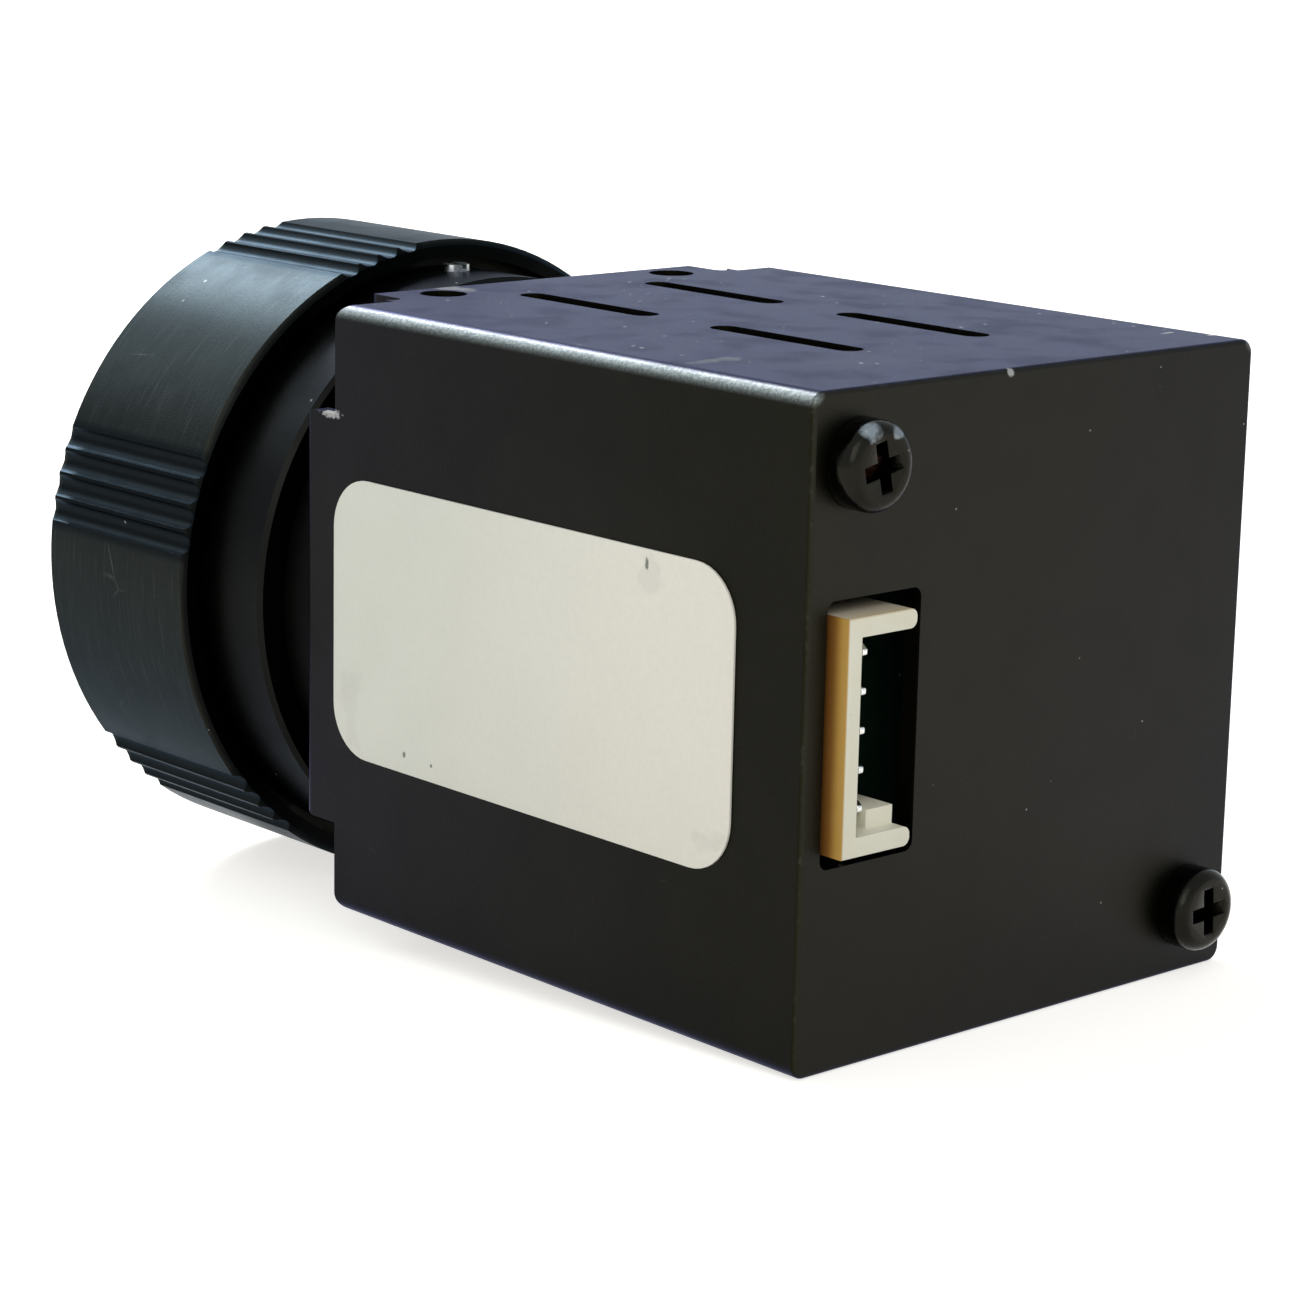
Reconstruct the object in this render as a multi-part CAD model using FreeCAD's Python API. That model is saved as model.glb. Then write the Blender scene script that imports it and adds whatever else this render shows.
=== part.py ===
import FreeCAD, Part
import math
import os

Vector = FreeCAD.Vector

# Frame: X towards the labelled side, Y towards the back, Z up, in millimetres.
# The origin is the middle of the housing's bottom face, and the lens looks along -Y.

# Housing: a thin one-piece shell, open at the front
housing_width = 24.6
housing_length = 28.3
housing_height = 26.0
housing_wall = 0.8
bend_radius = 0.6
inner_bend_radius = 0.3
rear_rim_radius = 0.2
front_corner_radius = 0.8

# Tabs that reach forward over the front plate
tab_length = 2.05
side_tab_half_height = 8.8
top_tab_half_width = 9.0
tab_corner_radius = 0.6
tab_edge_radius = 0.4
relief_radius = 0.4

# Two screw holes in the top tab and two in the bottom one
tab_hole_spacing = 13.0
tab_hole_radius = 1.0
tab_hole_ahead = 0.1
tapped_core_radius = 0.8
top_tapped_depth = 3.4
bottom_tapped_depth = 2.8

# Vent slots in the top
slot_width = 1.25
slot_length = 8.2
slot_offset = 3.55
slot_row_starts = (1.75, 13.6)

# Screws through the back, in two opposite corners
rear_screw_side_inset = 2.4
rear_screw_end_inset = 2.8
screw_radius = 0.95
screw_clearance_radius = 1.1
screw_thread_radius = 1.0
screw_head_radius = 1.9
screw_head_height = 1.3
screw_head_rounding = 0.5
rear_screw_length = 5.0
recess_span = 2.1
recess_width = 0.6
recess_depth = 0.75

# Label on the +X side
label_length = 24.5
label_height = 11.9
label_low_edge = 7.0
label_start = 0.05
label_corner_radius = 2.2
label_thickness = 0.1

# Socket at the back
header_height = 9.1
header_width = 3.6
header_depth = 4.7
header_side_inset = 1.3
header_rise = 0.1
header_stand_out = 0.8
header_wall = 0.75
header_floor = 1.3
header_low_side_drop = 2.4
header_rib_width = 1.3
header_rib_height = 0.45
header_rib_drop = 0.7
cutout_margin_inner = 1.0
cutout_margin_outer = 0.3
cutout_margin_ends = 0.55
cutout_corner_radius = 0.4
pin_count = 5
pin_pitch = 1.5
pin_side = 0.5
pin_tip_drop = 0.7
pin_tail = 0.9
pin_hole_radius = 0.42
pin_offset_x = 0.15

# Front plate with two legs that reach the back wall
lens_axis_drop = 0.4
plate_gap = 0.05
plate_depth = 3.0
tall_arm_setback = 0.3
wide_arm_setback = 1.3
leg_gap = 0.1
leg_width = 2.85
leg_height = 3.3
leg_hole_depth = 6.0

# Lens, measured forward of the housing's front edge unless named otherwise
mount_side_wall = 1.45
thread_clearance = 0.05
spigot_behind = 2.6
barrel_wall = 1.5
lock_ring_wall = 2.0
lock_ring_length = 1.95
lock_notch_count = 4
lock_notch_width = 1.6
lock_notch_depth = 0.6
flange_gap = 0.5
flange_start = 4.15
flange_end = 9.2
flange_chamfer = 0.2
journal_setback = 0.85
journal_end = 14.0
running_clearance = 0.04
barrel_tube_wall = 1.4
cell_clearance = 0.05
barrel_step = 4.9

# Focus ring
ring_radius = 14.5
ring_start = 8.0
ring_end = 18.55
ring_rim_wall = 0.8
ring_web_start = 9.3
ring_web_end = 12.4
ring_front_wall = 1.65
ring_chamfer = 0.25
ring_mouth_chamfer = 0.5
groove_group_count = 6
grooves_per_group = 4
groove_pitch_angle = 4.4
groove_first_group_angle = 15.3
groove_depth = 0.28
groove_half_width = 0.49

# Spring clip that holds the ring on the barrel
clip_gap = 0.05
clip_thickness = 0.45
clip_groove_depth = 0.5
clip_stand_out = 0.75
clip_opening_angle = 40.0

# Lens cell and optics
cell_start = 5.4
cell_head_start = 14.9
cell_head_end = 17.7
cell_thread_gap = 0.07
cell_head_wall = 1.65
cell_front_bore_start = 16.2
front_lens_inset = 0.9
front_seat_start = 13.3
front_lens_edge = 2.4
front_lens_curve = 28.0
front_lens_back_curve = 45.0
front_seat_lip = 1.0
lens_gap = 0.05
seal_inset = 0.45
seal_width = 0.6
seal_thickness = 0.5
rear_lens_inset = 0.6
rear_lens_start = 6.6
rear_lens_edge = 1.4
rear_lens_curve = 20.0
rear_seat_lip = 0.6
rear_seat_thickness = 0.4
rear_cell_wall = 2.2
retainer_gap = 0.05
front_retainer_overlap = 0.7
front_retainer_length = 1.2
front_retainer_lip_inset = 0.1
front_retainer_lip_length = 0.25
rear_retainer_overlap = 0.8
rear_retainer_length = 1.0
spanner_slot_width = 1.2
spanner_slot_depth = 0.5

# Screws that guide the cell in straight slots
guide_angles = (90.0, 270.0)
guide_station = 7.3
guide_body_radius = 0.6
guide_tip_radius = 0.45
guide_slot_gap = 0.06
guide_slot_depth = 0.6
guide_slot_forward = 0.3
guide_slot_back = 0.5
guide_stand_out = 0.3
guide_driver_slot_depth = 0.2
guide_driver_slot_width = 0.25
guide_shoulder_gap = 0.15
guide_tip_reach = 0.45

# Board stack, measured back from the housing's front edge
stack_screw_side_inset = 2.8
stack_screw_end_inset = 2.9
spacer_radius = 1.6
board_wall_gap = 0.3
board_notch_gap = 0.2
shutter_base_gap = 3.0
shutter_base_thickness = 0.6
sensor_board_gap = 4.1
first_link_share = 0.4
board_thickness = 1.0
stack_thread_depth = 2.0

# Shutter
shutter_window_width = 12.0
shutter_window_height = 9.6
shutter_corner_radius = 1.0
shaft_radius = 0.5
hub_radius = 1.2
hub_length = 0.6
blade_thickness = 0.15
blade_gap = 0.35
blade_cover_half_width = 4.2
blade_top_gap = 0.6
blade_half_width = 3.3
blade_arm_half_width = 0.8
actuator_wall_gap = 0.25
actuator_package_gap = 0.95
actuator_height = 8.4
actuator_gap = 0.25
coil_inset = 0.3
coil_length = 2.0

# Sensor
package_size = 14.0
package_thickness = 2.1
package_window_sink = 0.2
window_width = 11.0
window_height = 10.0
window_thickness = 0.6
window_gap = 0.05

# Chips and passive parts
processor_size = 10.0
processor_drop = 2.2
processor_thickness = 1.2
memory_width = 9.0
memory_height = 11.0
memory_thickness = 1.1
inductor_size = 5.0
inductor_thickness = 2.0
inductor_x = -5.0
inductor_rise = 2.0
capacitor_length = 3.5
capacitor_width = 2.0
capacitor_thickness = 1.6
capacitor_x = -5.0
capacitor_count = 3
capacitor_pitch = 3.0
capacitor_first_rise = 3.9

# Links between the boards
link_length = 12.0
link_width = 3.2
link_wall = 0.6
link_tongue_gap = 0.1
link_tongue_depth = 1.2
link_edge_inset = 1.5

front = -housing_length / 2
back = housing_length / 2
inner_half_width = housing_width / 2 - housing_wall
inner_top = housing_height - housing_wall
middle_height = housing_height / 2
lens_axis_height = middle_height - lens_axis_drop

# Front plate and the lens mount cut in it
tall_arm_half_width = top_tab_half_width - tall_arm_setback
wide_arm_half_height = side_tab_half_height - wide_arm_setback
mount_room = min(inner_half_width, lens_axis_height - housing_wall, inner_top - lens_axis_height)
mount_thread_radius = mount_room - plate_gap - mount_side_wall
lock_ring_radius = mount_thread_radius + lock_ring_wall

# Lens radii, from the ring inwards
flange_radius = ring_radius - ring_rim_wall - flange_gap
ring_thread_radius = ring_radius - ring_front_wall
journal_radius = ring_thread_radius - journal_setback
cell_tube_radius = journal_radius - barrel_tube_wall
cell_front_bore = ring_thread_radius - cell_head_wall
front_lens_radius = cell_front_bore - front_lens_inset
front_retainer_inner = front_lens_radius - front_retainer_overlap
front_retainer_lip = front_lens_radius - front_retainer_lip_inset
seal_middle_radius = front_lens_radius - seal_inset
rear_bore_radius = cell_tube_radius - rear_cell_wall
rear_lens_radius = rear_bore_radius - rear_lens_inset
rear_retainer_inner = rear_lens_radius - rear_retainer_overlap
guide_body_end = cell_tube_radius + guide_shoulder_gap
guide_tip_end = cell_tube_radius - guide_tip_reach

# Board stack, from the front plate to the socket's board
shutter_base_depth = plate_depth + shutter_base_gap
sensor_board_depth = shutter_base_depth + sensor_board_gap
interface_board_depth = (housing_length + header_stand_out - header_depth) - board_thickness
link_room = interface_board_depth - sensor_board_depth - 2 * board_thickness
processor_board_depth = sensor_board_depth + board_thickness + first_link_share * link_room
board_half_width = inner_half_width - board_wall_gap
board_low_edge = housing_wall + board_wall_gap
board_high_edge = inner_top - board_wall_gap
sensor_link_z = board_low_edge + link_edge_inset + link_width / 2
processor_link_z = board_high_edge - link_edge_inset - link_width / 2

# Shutter, between the sensor and the wall
actuator_room = inner_half_width - actuator_wall_gap - package_size / 2 - actuator_package_gap
actuator_half_width = actuator_room / 2
coil_radius = actuator_half_width - coil_inset
pivot_x = actuator_half_width + actuator_wall_gap - inner_half_width
blade_start = -pivot_x - blade_cover_half_width
blade_end = -pivot_x + blade_cover_half_width
blade_rise = inner_top - blade_top_gap - lens_axis_height - blade_half_width
blade_open_angle = math.degrees(math.asin(blade_rise / (blade_end - blade_half_width)))

# Screws and socket at the back
rear_screw_offset = housing_width / 2 - rear_screw_side_inset
rear_screw_rise = middle_height - rear_screw_end_inset
stack_screw_offset = housing_width / 2 - stack_screw_side_inset
stack_screw_rise = middle_height - stack_screw_end_inset
header_centre_x = housing_width / 2 - header_side_inset - header_width / 2
header_centre_z = middle_height + header_rise
along_x = Vector(1, 0, 0)
along_y = Vector(0, 1, 0)
along_z = Vector(0, 0, 1)
overshoot = 1.0


def ahead(distance):
    # Y of the plane that lies this far in front of the housing's front edge
    return front - distance


def behind(distance):
    # Y of the plane that lies this far behind the housing's front edge
    return front + distance


def block(x_range, y_range, z_range):
    corner = Vector(min(x_range), min(y_range), min(z_range))
    sizes = [max(span) - min(span) for span in (x_range, y_range, z_range)]
    return Part.makeBox(sizes[0], sizes[1], sizes[2], corner)


def rounded_outline(width, height, radius):
    # rectangle with round corners, around the origin of the XY plane
    half_w = width / 2
    half_h = height / 2
    inner_w = half_w - radius
    inner_h = half_h - radius
    slant = radius * math.sqrt(0.5)
    edges = [
        Part.LineSegment(Vector(-inner_w, -half_h, 0), Vector(inner_w, -half_h, 0)),
        Part.Arc(Vector(inner_w, -half_h, 0), Vector(inner_w + slant, -inner_h - slant, 0),
                 Vector(half_w, -inner_h, 0)),
        Part.LineSegment(Vector(half_w, -inner_h, 0), Vector(half_w, inner_h, 0)),
        Part.Arc(Vector(half_w, inner_h, 0), Vector(inner_w + slant, inner_h + slant, 0),
                 Vector(inner_w, half_h, 0)),
        Part.LineSegment(Vector(inner_w, half_h, 0), Vector(-inner_w, half_h, 0)),
        Part.Arc(Vector(-inner_w, half_h, 0), Vector(-inner_w - slant, inner_h + slant, 0),
                 Vector(-half_w, inner_h, 0)),
        Part.LineSegment(Vector(-half_w, inner_h, 0), Vector(-half_w, -inner_h, 0)),
        Part.Arc(Vector(-half_w, -inner_h, 0), Vector(-inner_w - slant, -inner_h - slant, 0),
                 Vector(-inner_w, -half_h, 0)),
    ]
    return Part.Wire([edge.toShape() for edge in edges])


def rounded_bar(centre, width, height, length, radius, direction):
    # bar with a rounded section, growing from its centre point along X, Y or Z
    bar = Part.Face(rounded_outline(width, height, radius)).extrude(Vector(0, 0, length))
    if direction == along_y:
        bar.rotate(Vector(0, 0, 0), along_x, -90)
    if direction == along_x:
        bar.rotate(Vector(0, 0, 0), along_y, 90)
        bar.rotate(Vector(0, 0, 0), along_x, 90)
    bar.translate(centre)
    return bar


def turned(profile):
    # solid of revolution around the lens axis, from (radius, distance ahead) corners
    corners = [Vector(radius, ahead(distance), lens_axis_height) for radius, distance in profile]
    outline = Part.makePolygon(corners + [corners[0]])
    axis_point = Vector(0, 0, lens_axis_height)
    return Part.Face(outline).revolve(axis_point, along_y, 360)


def turned_tube(outer, inner, start, end):
    return turned([(inner, start), (outer, start), (outer, end), (inner, end)])


def on_lens_axis(shape, angle):
    # copy turned about the lens axis, counted from +X towards +Z
    copy = shape.copy()
    copy.rotate(Vector(0, 0, lens_axis_height), along_y, -angle)
    return copy


def screw_places(offset, rise, mirrored):
    side = -1 if mirrored else 1
    return [Vector(side * offset, 0, middle_height + rise), Vector(-side * offset, 0, middle_height - rise)]


def rear_screw_places():
    return screw_places(rear_screw_offset, rear_screw_rise, False)


def stack_screw_places():
    return screw_places(stack_screw_offset, stack_screw_rise, True)


def hole_along_y(place, radius, y_range):
    start = Vector(place.x, min(y_range), place.z)
    return Part.makeCylinder(radius, max(y_range) - min(y_range), start, along_y)


def edges_at(shape, y):
    return [edge for edge in shape.Edges if all(abs(v.Y - y) < 0.001 for v in edge.Vertexes)]


def housing_shell():
    full_length = housing_length + tab_length
    outer = rounded_bar(Vector(0, ahead(tab_length), middle_height), housing_width, housing_height,
                        full_length, bend_radius, along_y)
    outer = outer.makeFillet(rear_rim_radius, edges_at(outer, back))
    outer = outer.makeFillet(tab_edge_radius, edges_at(outer, ahead(tab_length)))
    hollow = rounded_bar(Vector(0, ahead(tab_length + overshoot), middle_height),
                         2 * inner_half_width, housing_height - 2 * housing_wall,
                         full_length + overshoot - housing_wall, inner_bend_radius, along_y)
    return outer.cut(hollow)


def tab_keepers():
    # what stays of the shell in front of its front edge
    reach = tab_length + overshoot
    side = rounded_bar(Vector(-housing_width, front + overshoot, lens_axis_height),
                       2 * reach, 2 * side_tab_half_height, 2 * housing_width, tab_corner_radius, along_x)
    top = rounded_bar(Vector(0, front + overshoot, -housing_height), 2 * top_tab_half_width, 2 * reach,
                      3 * housing_height, tab_corner_radius, along_z)
    return side.fuse(top)


def front_trim():
    wide = housing_width
    slab = block((-wide, wide), (front, ahead(tab_length + 2 * overshoot)),
                 (-overshoot, housing_height + overshoot))
    return slab.cut(tab_keepers())


def relief_notches():
    # small round notches where the top and bottom tabs start
    tools = []
    for side in (-1, 1):
        place = Vector(side * (top_tab_half_width + relief_radius), front, -overshoot)
        tools.append(Part.makeCylinder(relief_radius, housing_height + 2 * overshoot, place, along_z))
    return tools


def front_corner_cutters():
    # rounds the corners of the side panels where they meet the front edge
    size = front_corner_radius
    near = top_tab_half_width + 2 * relief_radius
    tools = []
    for side in (-1, 1):
        for edge_z, inward in ((0, 1), (housing_height, -1)):
            square = block((side * near, side * housing_width), (front - overshoot, front + size),
                           (edge_z - inward * overshoot, edge_z + inward * size))
            start = Vector(min(side * near, side * housing_width), front + size, edge_z + inward * size)
            rounding = Part.makeCylinder(size, housing_width - near, start, along_x)
            rest = block((side * near, side * housing_width), (front + size, front + size + overshoot),
                         (edge_z - inward * overshoot, edge_z + inward * size))
            tools.append(square.cut([rounding, rest]))
    return tools


def vent_slots():
    tools = []
    for side in (-1, 1):
        for start in slot_row_starts:
            centre = Vector(side * slot_offset, behind(start + slot_length / 2), inner_top - overshoot)
            tools.append(rounded_bar(centre, slot_width, slot_length, housing_wall + 2 * overshoot,
                                     slot_width / 2 - 0.001, along_z))
    return tools


def tab_holes():
    y = ahead(tab_hole_ahead)
    tools = []
    for side in (-1, 1):
        start = Vector(side * tab_hole_spacing / 2, y, -overshoot)
        tools.append(Part.makeCylinder(tab_hole_radius, housing_height + 2 * overshoot, start, along_z))
    return tools


def socket_cutout():
    left = header_centre_x - header_width / 2 - cutout_margin_inner
    right = header_centre_x + header_width / 2 + cutout_margin_outer
    height = header_height + 2 * cutout_margin_ends
    centre = Vector((left + right) / 2, back - housing_wall - overshoot, header_centre_z)
    return rounded_bar(centre, right - left, height, housing_wall + 2 * overshoot,
                       cutout_corner_radius, along_y)


def make_housing():
    tools = [front_trim(), socket_cutout()]
    tools += relief_notches() + front_corner_cutters() + vent_slots() + tab_holes()
    for place in rear_screw_places():
        tools.append(hole_along_y(place, screw_clearance_radius,
                                  (back - housing_wall - overshoot, back + overshoot)))
    return housing_shell().cut(tools)


def pan_head_screw(place, seat_y, length):
    # screw that points along -Y, its head's underside at seat_y
    rounding = screw_head_rounding
    bevel = rounding * (1 - math.sqrt(0.5))
    top = seat_y + screw_head_height
    edges = [
        Part.LineSegment(Vector(0, seat_y - length, 0), Vector(screw_radius, seat_y - length, 0)),
        Part.LineSegment(Vector(screw_radius, seat_y - length, 0), Vector(screw_radius, seat_y, 0)),
        Part.LineSegment(Vector(screw_radius, seat_y, 0), Vector(screw_head_radius, seat_y, 0)),
        Part.LineSegment(Vector(screw_head_radius, seat_y, 0), Vector(screw_head_radius, top - rounding, 0)),
        Part.Arc(Vector(screw_head_radius, top - rounding, 0),
                 Vector(screw_head_radius - bevel, top - bevel, 0),
                 Vector(screw_head_radius - rounding, top, 0)),
        Part.LineSegment(Vector(screw_head_radius - rounding, top, 0), Vector(0, top, 0)),
        Part.LineSegment(Vector(0, top, 0), Vector(0, seat_y - length, 0)),
    ]
    outline = Part.Wire([edge.toShape() for edge in edges])
    screw = Part.Face(outline).revolve(Vector(0, 0, 0), along_y, 360)
    half_span = recess_span / 2
    half_width = recess_width / 2
    bottom = top - recess_depth
    flat_arm = block((-half_span, half_span), (bottom, top + overshoot), (-half_width, half_width))
    tall_arm = block((-half_width, half_width), (bottom, top + overshoot), (-half_span, half_span))
    screw = screw.cut([flat_arm, tall_arm])
    screw.translate(Vector(place.x, 0, place.z))
    return screw


def make_rear_screws():
    screws = [pan_head_screw(place, back, rear_screw_length) for place in rear_screw_places()]
    return Part.makeCompound(screws)


def make_label():
    centre = Vector(housing_width / 2, behind(label_start + label_length / 2),
                    label_low_edge + label_height / 2)
    return rounded_bar(centre, label_length, label_height, label_thickness, label_corner_radius, along_x)


def chassis_plate():
    # plate inside the housing's mouth, with a cross-shaped front that the tabs reach over
    half_width = inner_half_width - plate_gap
    low = housing_wall + plate_gap
    plate = rounded_bar(Vector(0, front, middle_height), 2 * half_width, housing_height - 2 * low,
                        plate_depth, inner_bend_radius, along_y)
    reach = (ahead(tab_length), behind(plate_depth))
    tall_arm = block((-tall_arm_half_width, tall_arm_half_width), reach, (low, housing_height - low))
    wide_arm = block((-half_width, half_width), reach,
                     (lens_axis_height - wide_arm_half_height, lens_axis_height + wide_arm_half_height))
    return plate.fuse([tall_arm, wide_arm])


def chassis_legs():
    legs = []
    for sign in (1, -1):
        outer_x = sign * (inner_half_width - leg_gap)
        outer_z = middle_height + sign * (middle_height - housing_wall - leg_gap)
        leg = block((outer_x - sign * leg_width, outer_x), (behind(plate_depth), back - housing_wall),
                    (outer_z - sign * leg_height, outer_z))
        legs.append(leg)
    return legs


def make_front_chassis():
    chassis = chassis_plate().fuse(chassis_legs()).removeSplitter()
    tools = [turned([(0, tab_length + overshoot), (mount_thread_radius, tab_length + overshoot),
                     (mount_thread_radius, -plate_depth - overshoot), (0, -plate_depth - overshoot)])]
    for place in rear_screw_places():
        tools.append(hole_along_y(place, screw_thread_radius, (back - housing_wall - leg_hole_depth, back)))
    for place in stack_screw_places():
        thread_start = behind(plate_depth - stack_thread_depth)
        tools.append(hole_along_y(place, screw_thread_radius,
                                  (thread_start, behind(plate_depth + overshoot))))
    for side in (-1, 1):
        x = side * tab_hole_spacing / 2
        y = ahead(tab_hole_ahead)
        tools.append(Part.makeCylinder(tapped_core_radius, top_tapped_depth + overshoot,
                                       Vector(x, y, inner_top - plate_gap - top_tapped_depth), along_z))
        tools.append(Part.makeCylinder(tapped_core_radius, bottom_tapped_depth + overshoot,
                                       Vector(x, y, housing_wall + plate_gap - overshoot), along_z))
    return chassis.cut(tools)


def make_lock_ring():
    start = tab_length
    ring = turned_tube(lock_ring_radius, mount_thread_radius, start, start + lock_ring_length)
    half = lock_notch_width / 2
    notch = block((lock_ring_radius - lock_notch_depth, lock_ring_radius + overshoot),
                  (ahead(start + lock_ring_length + overshoot), ahead(start - overshoot)),
                  (lens_axis_height - half, lens_axis_height + half))
    return ring.cut([on_lens_axis(notch, 360 * i / lock_notch_count + 45) for i in range(lock_notch_count)])


def guide_hole(radius, inner, outer):
    # radial cylinder at the guide station, along +X
    start = Vector(inner, ahead(guide_station), lens_axis_height)
    return Part.makeCylinder(radius, outer - inner, start, along_x)


def make_lens_barrel():
    spigot = mount_thread_radius - thread_clearance
    bore = cell_tube_radius + cell_clearance
    groove_start = ring_web_end + clip_gap / 2
    groove_end = groove_start + clip_thickness + clip_gap
    groove_bottom = journal_radius - clip_groove_depth
    profile = [
        (spigot - barrel_wall, -spigot_behind),
        (spigot, -spigot_behind),
        (spigot, flange_start),
        (flange_radius - flange_chamfer, flange_start),
        (flange_radius, flange_start + flange_chamfer),
        (flange_radius, flange_end),
        (journal_radius, flange_end),
        (journal_radius, groove_start),
        (groove_bottom, groove_start),
        (groove_bottom, groove_end),
        (journal_radius, groove_end),
        (journal_radius, journal_end),
        (bore, journal_end),
        (bore, barrel_step),
        (spigot - barrel_wall, barrel_step),
    ]
    barrel = turned(profile)
    hole = guide_hole(guide_body_radius + thread_clearance, bore - overshoot, flange_radius + overshoot)
    return barrel.cut([on_lens_axis(hole, angle) for angle in guide_angles])


def ring_grooves():
    # round-bottomed grooves along the ring's whole width, in evenly spaced groups
    cutter_radius = (groove_half_width ** 2 + groove_depth ** 2) / (2 * groove_depth)
    centre_radius = ring_radius - groove_depth + cutter_radius
    length = ring_end - ring_start + 2 * overshoot
    first = Part.makeCylinder(cutter_radius, length,
                              Vector(centre_radius, ahead(ring_end + overshoot), lens_axis_height), along_y)
    tools = []
    for group in range(groove_group_count):
        group_angle = groove_first_group_angle + 360 * group / groove_group_count
        for index in range(grooves_per_group):
            shift = (index - (grooves_per_group - 1) / 2) * groove_pitch_angle
            tools.append(on_lens_axis(first, group_angle + shift))
    return tools


def make_focus_ring():
    profile = [
        (ring_radius - ring_rim_wall, ring_start),
        (ring_radius - ring_chamfer, ring_start),
        (ring_radius, ring_start + ring_chamfer),
        (ring_radius, ring_end - ring_chamfer),
        (ring_radius - ring_chamfer, ring_end),
        (ring_thread_radius + ring_mouth_chamfer, ring_end),
        (ring_thread_radius, ring_end - ring_mouth_chamfer),
        (ring_thread_radius, ring_web_end),
        (journal_radius + running_clearance, ring_web_end),
        (journal_radius + running_clearance, ring_web_start),
        (ring_radius - ring_rim_wall, ring_web_start),
    ]
    return turned(profile).cut(ring_grooves())


def make_ring_clip():
    start = ring_web_end + clip_gap
    inner = journal_radius - clip_groove_depth + clip_gap
    clip = turned_tube(journal_radius + clip_stand_out, inner, start, start + clip_thickness)
    half = clip_opening_angle / 2
    reach = 2 * journal_radius
    corners = [Vector(0, ahead(start - overshoot), lens_axis_height)]
    for angle in (270 - half, 270 + half):
        turn = math.radians(angle)
        corners.append(Vector(reach * math.cos(turn), ahead(start - overshoot),
                              lens_axis_height + reach * math.sin(turn)))
    wedge = Part.Face(Part.makePolygon(corners + [corners[0]]))
    return clip.cut(wedge.extrude(Vector(0, -(clip_thickness + 2 * overshoot), 0)))


def make_guide_screws():
    outer = flange_radius + guide_stand_out
    half = guide_driver_slot_width / 2
    screws = []
    for angle in guide_angles:
        body = guide_hole(guide_body_radius, guide_body_end, outer)
        tip = guide_hole(guide_tip_radius, guide_tip_end, guide_body_end)
        slot = block((outer - guide_driver_slot_depth, outer + overshoot), (front - ring_end, front),
                     (lens_axis_height - half, lens_axis_height + half))
        screws.append(on_lens_axis(body.fuse(tip).removeSplitter().cut(slot), angle))
    return Part.makeCompound(screws)


def guide_slot():
    half = guide_tip_radius + guide_slot_gap
    centre_y = ahead(guide_station + (guide_slot_forward - guide_slot_back) / 2)
    length = 2 * half + guide_slot_forward + guide_slot_back
    start = Vector(cell_tube_radius - guide_slot_depth, centre_y, lens_axis_height)
    return rounded_bar(start, length, 2 * half, guide_slot_depth + overshoot, half - 0.001, along_x)


def make_lens_seal():
    return turned_tube(seal_middle_radius + seal_width / 2, seal_middle_radius - seal_width / 2,
                       front_seat_start - seal_thickness, front_seat_start)


def make_lens_cell():
    head = ring_thread_radius - cell_thread_gap
    seat = front_lens_radius + lens_gap
    inner_seat = front_lens_radius - front_seat_lip
    rear_seat = rear_lens_radius + lens_gap
    rear_end = rear_lens_start + rear_lens_edge
    rear_inner = rear_lens_radius - rear_seat_lip
    profile = [
        (rear_bore_radius, cell_start),
        (cell_tube_radius, cell_start),
        (cell_tube_radius, cell_head_start),
        (head, cell_head_start),
        (head, cell_head_end),
        (cell_front_bore, cell_head_end),
        (cell_front_bore, cell_front_bore_start),
        (seat, cell_front_bore_start),
        (seat, front_seat_start),
        (inner_seat, front_seat_start),
        (rear_inner, rear_end + rear_seat_thickness),
        (rear_inner, rear_end),
        (rear_seat, rear_end),
        (rear_seat, rear_lens_start),
        (rear_bore_radius, rear_lens_start),
    ]
    cell = turned(profile)
    groove_half = seal_width / 2 + lens_gap
    groove = turned_tube(seal_middle_radius + groove_half, seal_middle_radius - groove_half,
                         front_seat_start - seal_thickness, front_seat_start + overshoot)
    slots = [on_lens_axis(guide_slot(), angle) for angle in guide_angles]
    return cell.cut([groove] + slots)


def sag(curve, radius):
    return curve - math.sqrt(curve ** 2 - radius ** 2)


def lens_element(radius, edge_start, edge_end, front_face, back_face):
    # turned lens; each face is its curve's radius and the width of its flat rim, and a
    # back face of None is flat all over
    z = lens_axis_height
    front_curve, front_rim = front_face
    dome = radius - front_rim
    front_vertex = Vector(0, ahead(edge_end + sag(front_curve, dome)), z)
    front_rise = sag(front_curve, dome) - sag(front_curve, dome / 2)
    front_middle = Vector(dome / 2, ahead(edge_end + front_rise), z)
    front_foot = Vector(dome, ahead(edge_end), z)
    front_edge = Vector(radius, ahead(edge_end), z)
    back_edge = Vector(radius, ahead(edge_start), z)
    edges = [Part.Arc(front_vertex, front_middle, front_foot).toShape(),
             Part.LineSegment(front_foot, front_edge).toShape(),
             Part.LineSegment(front_edge, back_edge).toShape()]
    if back_face is None:
        back_vertex = Vector(0, ahead(edge_start), z)
        edges.append(Part.LineSegment(back_edge, back_vertex).toShape())
    else:
        back_curve, back_rim = back_face
        hollow = radius - back_rim
        depth = sag(back_curve, hollow)
        back_foot = Vector(hollow, ahead(edge_start), z)
        back_vertex = Vector(0, ahead(edge_start + depth), z)
        back_middle = Vector(hollow / 2, ahead(edge_start + depth - sag(back_curve, hollow / 2)), z)
        edges.append(Part.LineSegment(back_edge, back_foot).toShape())
        edges.append(Part.Arc(back_foot, back_middle, back_vertex).toShape())
    edges.append(Part.LineSegment(back_vertex, front_vertex).toShape())
    return Part.Face(Part.Wire(edges)).revolve(Vector(0, 0, z), along_y, 360)


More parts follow.
